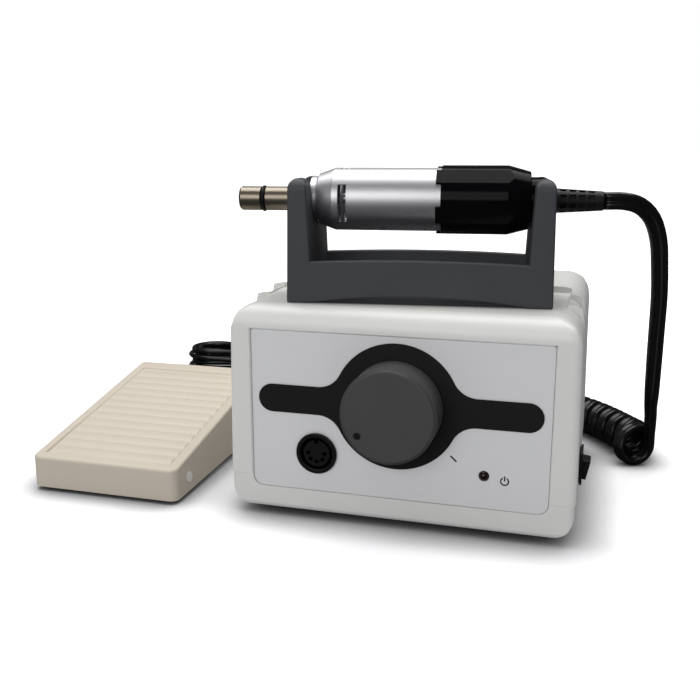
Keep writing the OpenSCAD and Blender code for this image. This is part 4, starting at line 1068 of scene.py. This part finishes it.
def pedal_route():
    """Control points of the pedal cord: from the pedal to the hank, its turns, and on to the jack plug."""
    first = hank_point(HANK_FROM) + Vector((3, 0, 0))
    last = hank_point(HANK_TO) + Vector((3, 0, 0))
    feed = places((0, -3, 0), (0, 5, 0), (0.2, 12, -1.5), start=GLAND_MOUTH)
    feed += places(
        (-125, 118, 3.4), (-121, 134, 1.7), (-113, 150, 1.7), (-103, 165, 1.7), (-95, 180, 1.7),
        (-93, 190, 1.7), (-96, 198.6, 1.7), (-104, 203.6, 2.1), (-113, first.y, 2.7))
    count = round((HANK_TO - HANK_FROM) * HANK_STEPS)
    hank = [hank_point(HANK_FROM + i / HANK_STEPS) for i in range(count + 1)]
    end = [last + Vector((6, 0, -0.2))] + places(
        (-110, 236.8, 9.4), (-100, 234.5, 4.8), (-90, 229, 2), (-82, 220, 1.7), (-76, 208, 1.7),
        (-70, 195, 3), (-62, 184, 6.5), (-52, 176, 12), (-40, 172.3, 18), (-28, 171.5, 22.5),
        (-17, 171, 26.5), (-8, 169, 29), (-2, 164.5, 30), (0, 159, 30), (0, 153, 30))
    return feed + [first] + hank + [last] + end


def round_section(radius, sides):
    """Outline of a round cord."""
    angles = [tau * i / sides for i in range(sides)]
    return [(radius * cos(a), radius * sin(a)) for a in angles]


def cord_jacket(name, tone):
    # Soft PVC jacket: black with a dull sheen, a fine extruded grain and paler dusty patches
    return surface(name, tone, roughness=0.24, grain=0.35, relief=0.004, drift=0.25, patch=9.0, fixed=SHEEN)


class MICROMOTOR_OT_handpiece_cord(bpy.types.Operator):
    """Flat twin cord of the handpiece: lead, curls and tail in one sweep"""
    bl_idname = "micromotor.handpiece_cord"
    bl_label = "Handpiece Cord"

    def execute(self, context):
        sizes = context.scene.micromotor_cords
        points, sides = handpiece_route(sizes.curl_radius / MM)
        path = [at_unit(*p) for p in spline(points, TWIN_STEPS)]
        normals = [n.normalized() for n in between(sides, TWIN_STEPS)]
        section = twin_section(sizes.lead_width, sizes.lead_thickness)
        tone = context.scene.micromotor_colours.cord
        cord = sweep("twin_cord", path, normals, section, cord_jacket("twin_pvc_jacket", tone))
        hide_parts("handpiece_cord", "curly_cord", "cord_tail")
        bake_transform(cord)
        return {"FINISHED"}


class MICROMOTOR_OT_pedal_cord(bpy.types.Operator):
    """Round cord of the pedal, tied in a hank behind it"""
    bl_idname = "micromotor.pedal_cord"
    bl_label = "Pedal Cord"

    def execute(self, context):
        radius = context.scene.micromotor_cords.pedal_diameter / 2
        path = [at_unit(*p) for p in spline(pedal_route(), PEDAL_STEPS)]
        tone = context.scene.micromotor_colours.cord
        up = [Vector((0, 0, 1))] * len(path)
        jacket = cord_jacket("round_pvc_jacket", tone)
        cord = sweep("pedal_lead", path, up, round_section(radius, PEDAL_SIDES), jacket)
        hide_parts("pedal_cord", "cord_hank")
        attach(cord, "unit")
        return {"FINISHED"}


# Name, tone, roughness, grain and relief in millimetres, other settings, and the pieces that take the finish
PLAIN_FINISHES = (
    # Extruded aluminium of the heat sink: pale, satin, with long drawing marks
    ("extruded_aluminium", "#B9BABD", 0.35, 0.3, 0.006, {"stretch": (1, 0.05, 1), "fixed": METAL},
     "heat_sink"),
    # Plated steel: bright, with a fine grain
    ("plated_steel", "#C4C4C6", 0.24, 0.25, 0.003, {"drift": 0.03, "fixed": METAL}, "pot_shaft",
     "housing_screws", "rotor_shaft", "drive_dog", "motor_bearings", "potentiometer", "pot_nut",
     "plug_contacts", "pedal_plug"),
    # Black moulded nylon: dark and dull
    ("moulded_black_nylon", "#0E0E0F", 0.4, 0.5, 0.01, {"drift": 0.1, "fixed": DULL}, "socket_insert",
     "mains_gland", "fuse_holder", "fuse_cap", "pedal_jack", "microswitch", "cord_plug", "hank_tie"),
    # Black rubber: matt and dusty
    ("black_rubber", "#101011", 0.6, 0.4, 0.015, {"drift": 0.15, "fixed": DULL}, "rubber_feet",
     "spigot_oring", "pedal_feet", "pedal_gland"),
    # Smoked acrylic of the power light: nearly black, red and glossy
    ("smoked_acrylic", "#1B0708", 0.1, 0.6, 0.002, {"drift": 0.1}, "power_led"),
    # White nylon of the pivot pin: milky and satin
    ("white_nylon", "#E4E2DC", 0.4, 0.6, 0.01, {}, "pivot_pin"),
    # Red acetal of the pedal's switch button: even and satin
    ("red_acetal", "#A8281F", 0.35, 0.6, 0.01, {}, "switch_button"),
    # Turned brass: yellow and bright
    ("turned_brass", "#C9A75C", 0.25, 0.4, 0.005, {"fixed": METAL}, "socket_contacts"),
    # Solder mask on the board: an even dark green lacquer
    ("solder_mask", "#1B5A33", 0.35, 0.8, 0.01, {}, "main_board"),
    # Shrunk PVC sleeves: dark blue and glossy
    ("shrunk_pvc_sleeve", "#1A2040", 0.25, 0.8, 0.005, {}, "board_capacitors"),
    # Stacked iron sheets: grey and dull, with lines where their edges meet
    ("stacked_iron_sheets", "#4A4A4D", 0.5, 0.5, 0.05, {"stretch": (0.05, 1, 0.05)}, "transformer_core",
     "rotor_core"),
    # Enamelled copper wire: red-brown and shiny, ridged like its turns
    ("enamelled_copper", "#A4562A", 0.3, 0.4, 0.08, {"stretch": (0.1, 0.1, 1), "fixed": {"Metallic": 0.9}},
     "transformer_coil", "rotor_windings", "commutator"),
    # Sintered magnet: dark grey, dull and slightly rough
    ("sintered_magnet", "#3A3A3D", 0.6, 0.4, 0.03, {}, "stator_magnet"),
    # Pressed carbon: nearly black and dull
    ("pressed_carbon", "#1D1D1E", 0.7, 0.3, 0.03, {}, "carbon_brushes"),
    # Resin-bound paper of the brush holder: brown and satin
    ("resin_bound_paper", "#6A5436", 0.5, 0.5, 0.02, {}, "brush_holder"),
)


class MICROMOTOR_OT_finishes(bpy.types.Operator):
    """Finishes of the carried-over pieces"""
    bl_idname = "micromotor.finishes"
    bl_label = "Finishes"

    def execute(self, context):
        c = context.scene.micromotor_colours
        # Polycarbonate label sheet: pale grey and even, about as satin as the housing
        put(surface("label_polycarbonate", c.label, roughness=0.4, grain=0.5, relief=0.005, drift=0.012),
            "front_panel", "rear_panel")
        # Screen-printed ink: charcoal, matt, laid on the label
        put(surface("printed_black_ink", c.band, roughness=0.5, grain=0.5, relief=0.004, drift=0.05,
                    fixed=MATT), "panel_band")
        for name, tone, roughness, grain, relief, more, *nodes in PLAIN_FINISHES:
            put(surface(name, linear(tone), roughness, grain, relief, **more), *nodes)
        return {"FINISHED"}


# Stage: the camera's place in millimetres of the unit
CAMERA_PLACE = (71.32, -312.86, 145.84)
CAMERA_TILT = radians(77.06)
CAMERA_TURN = radians(15.955)
SENSOR = 36
# Metres from the middle between which the floor fades into the white background, and its glow nearer by
FADE_FROM = 0.14
FADE_TO = 0.5
GLOW_NEAR = 0.42
# Metres within which a painted contact shadow darkens the floor round a piece, and how steeply
CONTACT_REACH = 0.02
CONTACT_STEEPNESS = 1.8
# Strength of the world's light on the pieces and in their reflections
WORLD_LIGHT = 0.3
WORLD_MIRRORED = 0.1


def lamp(name, power, size, location, target):
    """A rectangular soft lamp that looks at a point."""
    deselect()
    turn = (Vector(target) - Vector(location)).to_track_quat("-Z", "Y").to_euler()
    bpy.ops.object.light_add(type="AREA", location=location, rotation=turn)
    made = bpy.context.object
    made.name = name
    made.data.shape = "RECTANGLE"
    made.data.size, made.data.size_y = size
    made.data.energy = power


def white_floor():
    # Matt white paper: to the camera it shows the object's shadow and a painted contact shadow round each
    # piece, and the far part fades into the white background
    material = bpy.data.materials.new("white_paper_sweep")
    material.use_nodes = True
    shader = material.node_tree.nodes["Principled BSDF"]
    shader.inputs["Roughness"].default_value = 0.9
    shader.inputs["Specular IOR Level"].default_value = 0.1
    shader.inputs["Emission Color"].default_value = (1, 1, 1, 1)
    rays = node(material, "LightPath")
    place = node(material, "TexCoord")
    distance = node(material, "VectorMath", {"operation": "LENGTH"}, {0: (place, "Object")})
    far = node(material, "MapRange",
               {"interpolation_type": "SMOOTHSTEP", "From Min": FADE_FROM, "From Max": FADE_TO,
                "To Min": GLOW_NEAR, "To Max": 1.0}, {"Value": (distance, "Value")})
    # Ambient occlusion darkens the floor's colour and glow round each piece: a painted contact shadow
    open_sky = node(material, "AmbientOcclusion", {"Distance": CONTACT_REACH, "samples": 8})
    painted_shadow_mask = node(material, "Math", {"operation": "POWER", 1: CONTACT_STEEPNESS}, {0: (open_sky, "AO")})
    clear = node(material, "Math", {"operation": "MULTIPLY"},
                 {0: (far, "Result"), 1: (painted_shadow_mask, "Value")})
    seen = node(material, "Math", {"operation": "MULTIPLY"},
                {0: (clear, "Value"), 1: (rays, "Is Camera Ray")})
    # To the pieces the floor is greyer than to the camera, so it bounces less light onto them, and dark grey
    # in their reflections: painted shade and a painted reflection
    paper = node(material, "Mix",
                 {"data_type": "RGBA", MIX_A: linear("#C4C5C8"), MIX_B: linear("#4A4A4C")},
                 {"Factor": (rays, "Is Glossy Ray")})
    # Dark grey of the painted contact shadow near the pieces, pale paper further out
    painted_shadow_colour = node(material, "Mix",
               {"data_type": "RGBA", MIX_A: linear("#3C3C40"), MIX_B: linear("#E8E8EA")},
               {"Factor": (painted_shadow_mask, "Value")})
    bright = node(material, "Mix", {"data_type": "RGBA"},
                  {"Factor": (rays, "Is Camera Ray"), MIX_A: (paper, MIX_OUT), MIX_B: (painted_shadow_colour, MIX_OUT)})
    links = material.node_tree.links
    links.new(seen.outputs["Value"], shader.inputs["Emission Strength"])
    links.new(bright.outputs[MIX_OUT], shader.inputs["Base Color"])
    return material


def white_world(scene):
    """White to the camera and through clear pieces, dim in reflections, and a plain grey light elsewhere."""
    world = bpy.data.worlds.new("studio_world")
    world.use_nodes = True
    scene.world = world
    background = world.node_tree.nodes["Background"]
    background.inputs["Color"].default_value = (1, 1, 1, 1)
    rays = node(world, "LightPath")
    seen = node(world, "Math", {"operation": "MAXIMUM"},
                {0: (rays, "Is Camera Ray"), 1: (rays, "Is Transmission Ray")})
    shiny = node(world, "MapRange", {"To Min": WORLD_LIGHT, "To Max": WORLD_MIRRORED},
                 {"Value": (rays, "Is Glossy Ray")})
    strength = node(world, "Math", {"operation": "MAXIMUM"},
                    {0: (seen, "Value"), 1: (shiny, "Result")})
    world.node_tree.links.new(strength.outputs["Value"], background.inputs["Strength"])


class MICROMOTOR_OT_stage(bpy.types.Operator):
    """Floor, lamps, world and camera of the studio"""
    bl_idname = "micromotor.stage"
    bl_label = "Studio Stage"

    def execute(self, context):
        settings = context.scene.micromotor_stage
        deselect()
        bpy.ops.mesh.primitive_plane_add(size=40, location=(0, 0, 0))
        floor = context.object
        floor.name = "studio_floor"
        floor.data.materials.append(white_floor())
        white_world(context.scene)
        lamp("key_lamp", settings.key_power, size=(1.1, 0.7), location=(-0.05, 0.18, 0.95),
             target=(0.0, 0.0, 0.05))
        lamp("fill_lamp", settings.fill_power, size=(0.8, 0.5), location=(-0.12, -0.98, 0.42),
             target=(0.0, 0.0, 0.06))
        bpy.ops.object.camera_add(location=at_unit(*CAMERA_PLACE), rotation=(CAMERA_TILT, 0, CAMERA_TURN))
        camera = context.object
        camera.name = "photo_camera"
        camera.data.lens = settings.lens
        camera.data.sensor_width = SENSOR
        context.scene.camera = camera
        context.scene.view_settings.view_transform = "Standard"
        return {"FINISHED"}


class VIEW3D_PT_micromotor(bpy.types.Panel):
    """Steps of the dressing, in order"""
    bl_label = "Micromotor Set"
    bl_space_type = "VIEW_3D"
    bl_region_type = "UI"
    bl_category = "Micromotor"

    def draw(self, context):
        for step in STEPS:
            self.layout.operator(step.bl_idname)


STEPS = (
    MICROMOTOR_OT_stage,
    MICROMOTOR_OT_housing,
    MICROMOTOR_OT_cradle,
    MICROMOTOR_OT_pedal_cover,
    MICROMOTOR_OT_handpiece,
    MICROMOTOR_OT_fittings,
    MICROMOTOR_OT_marks,
    MICROMOTOR_OT_handpiece_cord,
    MICROMOTOR_OT_pedal_cord,
    MICROMOTOR_OT_finishes,
)
GROUPS = {
    "micromotor_colours": FinishColours,
    "micromotor_cords": CordSizes,
    "micromotor_stage": StageSettings,
}


def register():
    for group in GROUPS.values():
        bpy.utils.register_class(group)
    for name, group in GROUPS.items():
        setattr(bpy.types.Scene, name, bpy.props.PointerProperty(type=group))
    for step in STEPS:
        bpy.utils.register_class(step)
    bpy.utils.register_class(VIEW3D_PT_micromotor)


def unregister():
    bpy.utils.unregister_class(VIEW3D_PT_micromotor)
    for step in reversed(STEPS):
        bpy.utils.unregister_class(step)
    for name, group in GROUPS.items():
        delattr(bpy.types.Scene, name)
        bpy.utils.unregister_class(group)


def main():
    register()
    for step in STEPS:
        family, name = step.bl_idname.split(".")
        getattr(getattr(bpy.ops, family), name)()


if __name__ == "__main__":
    main()
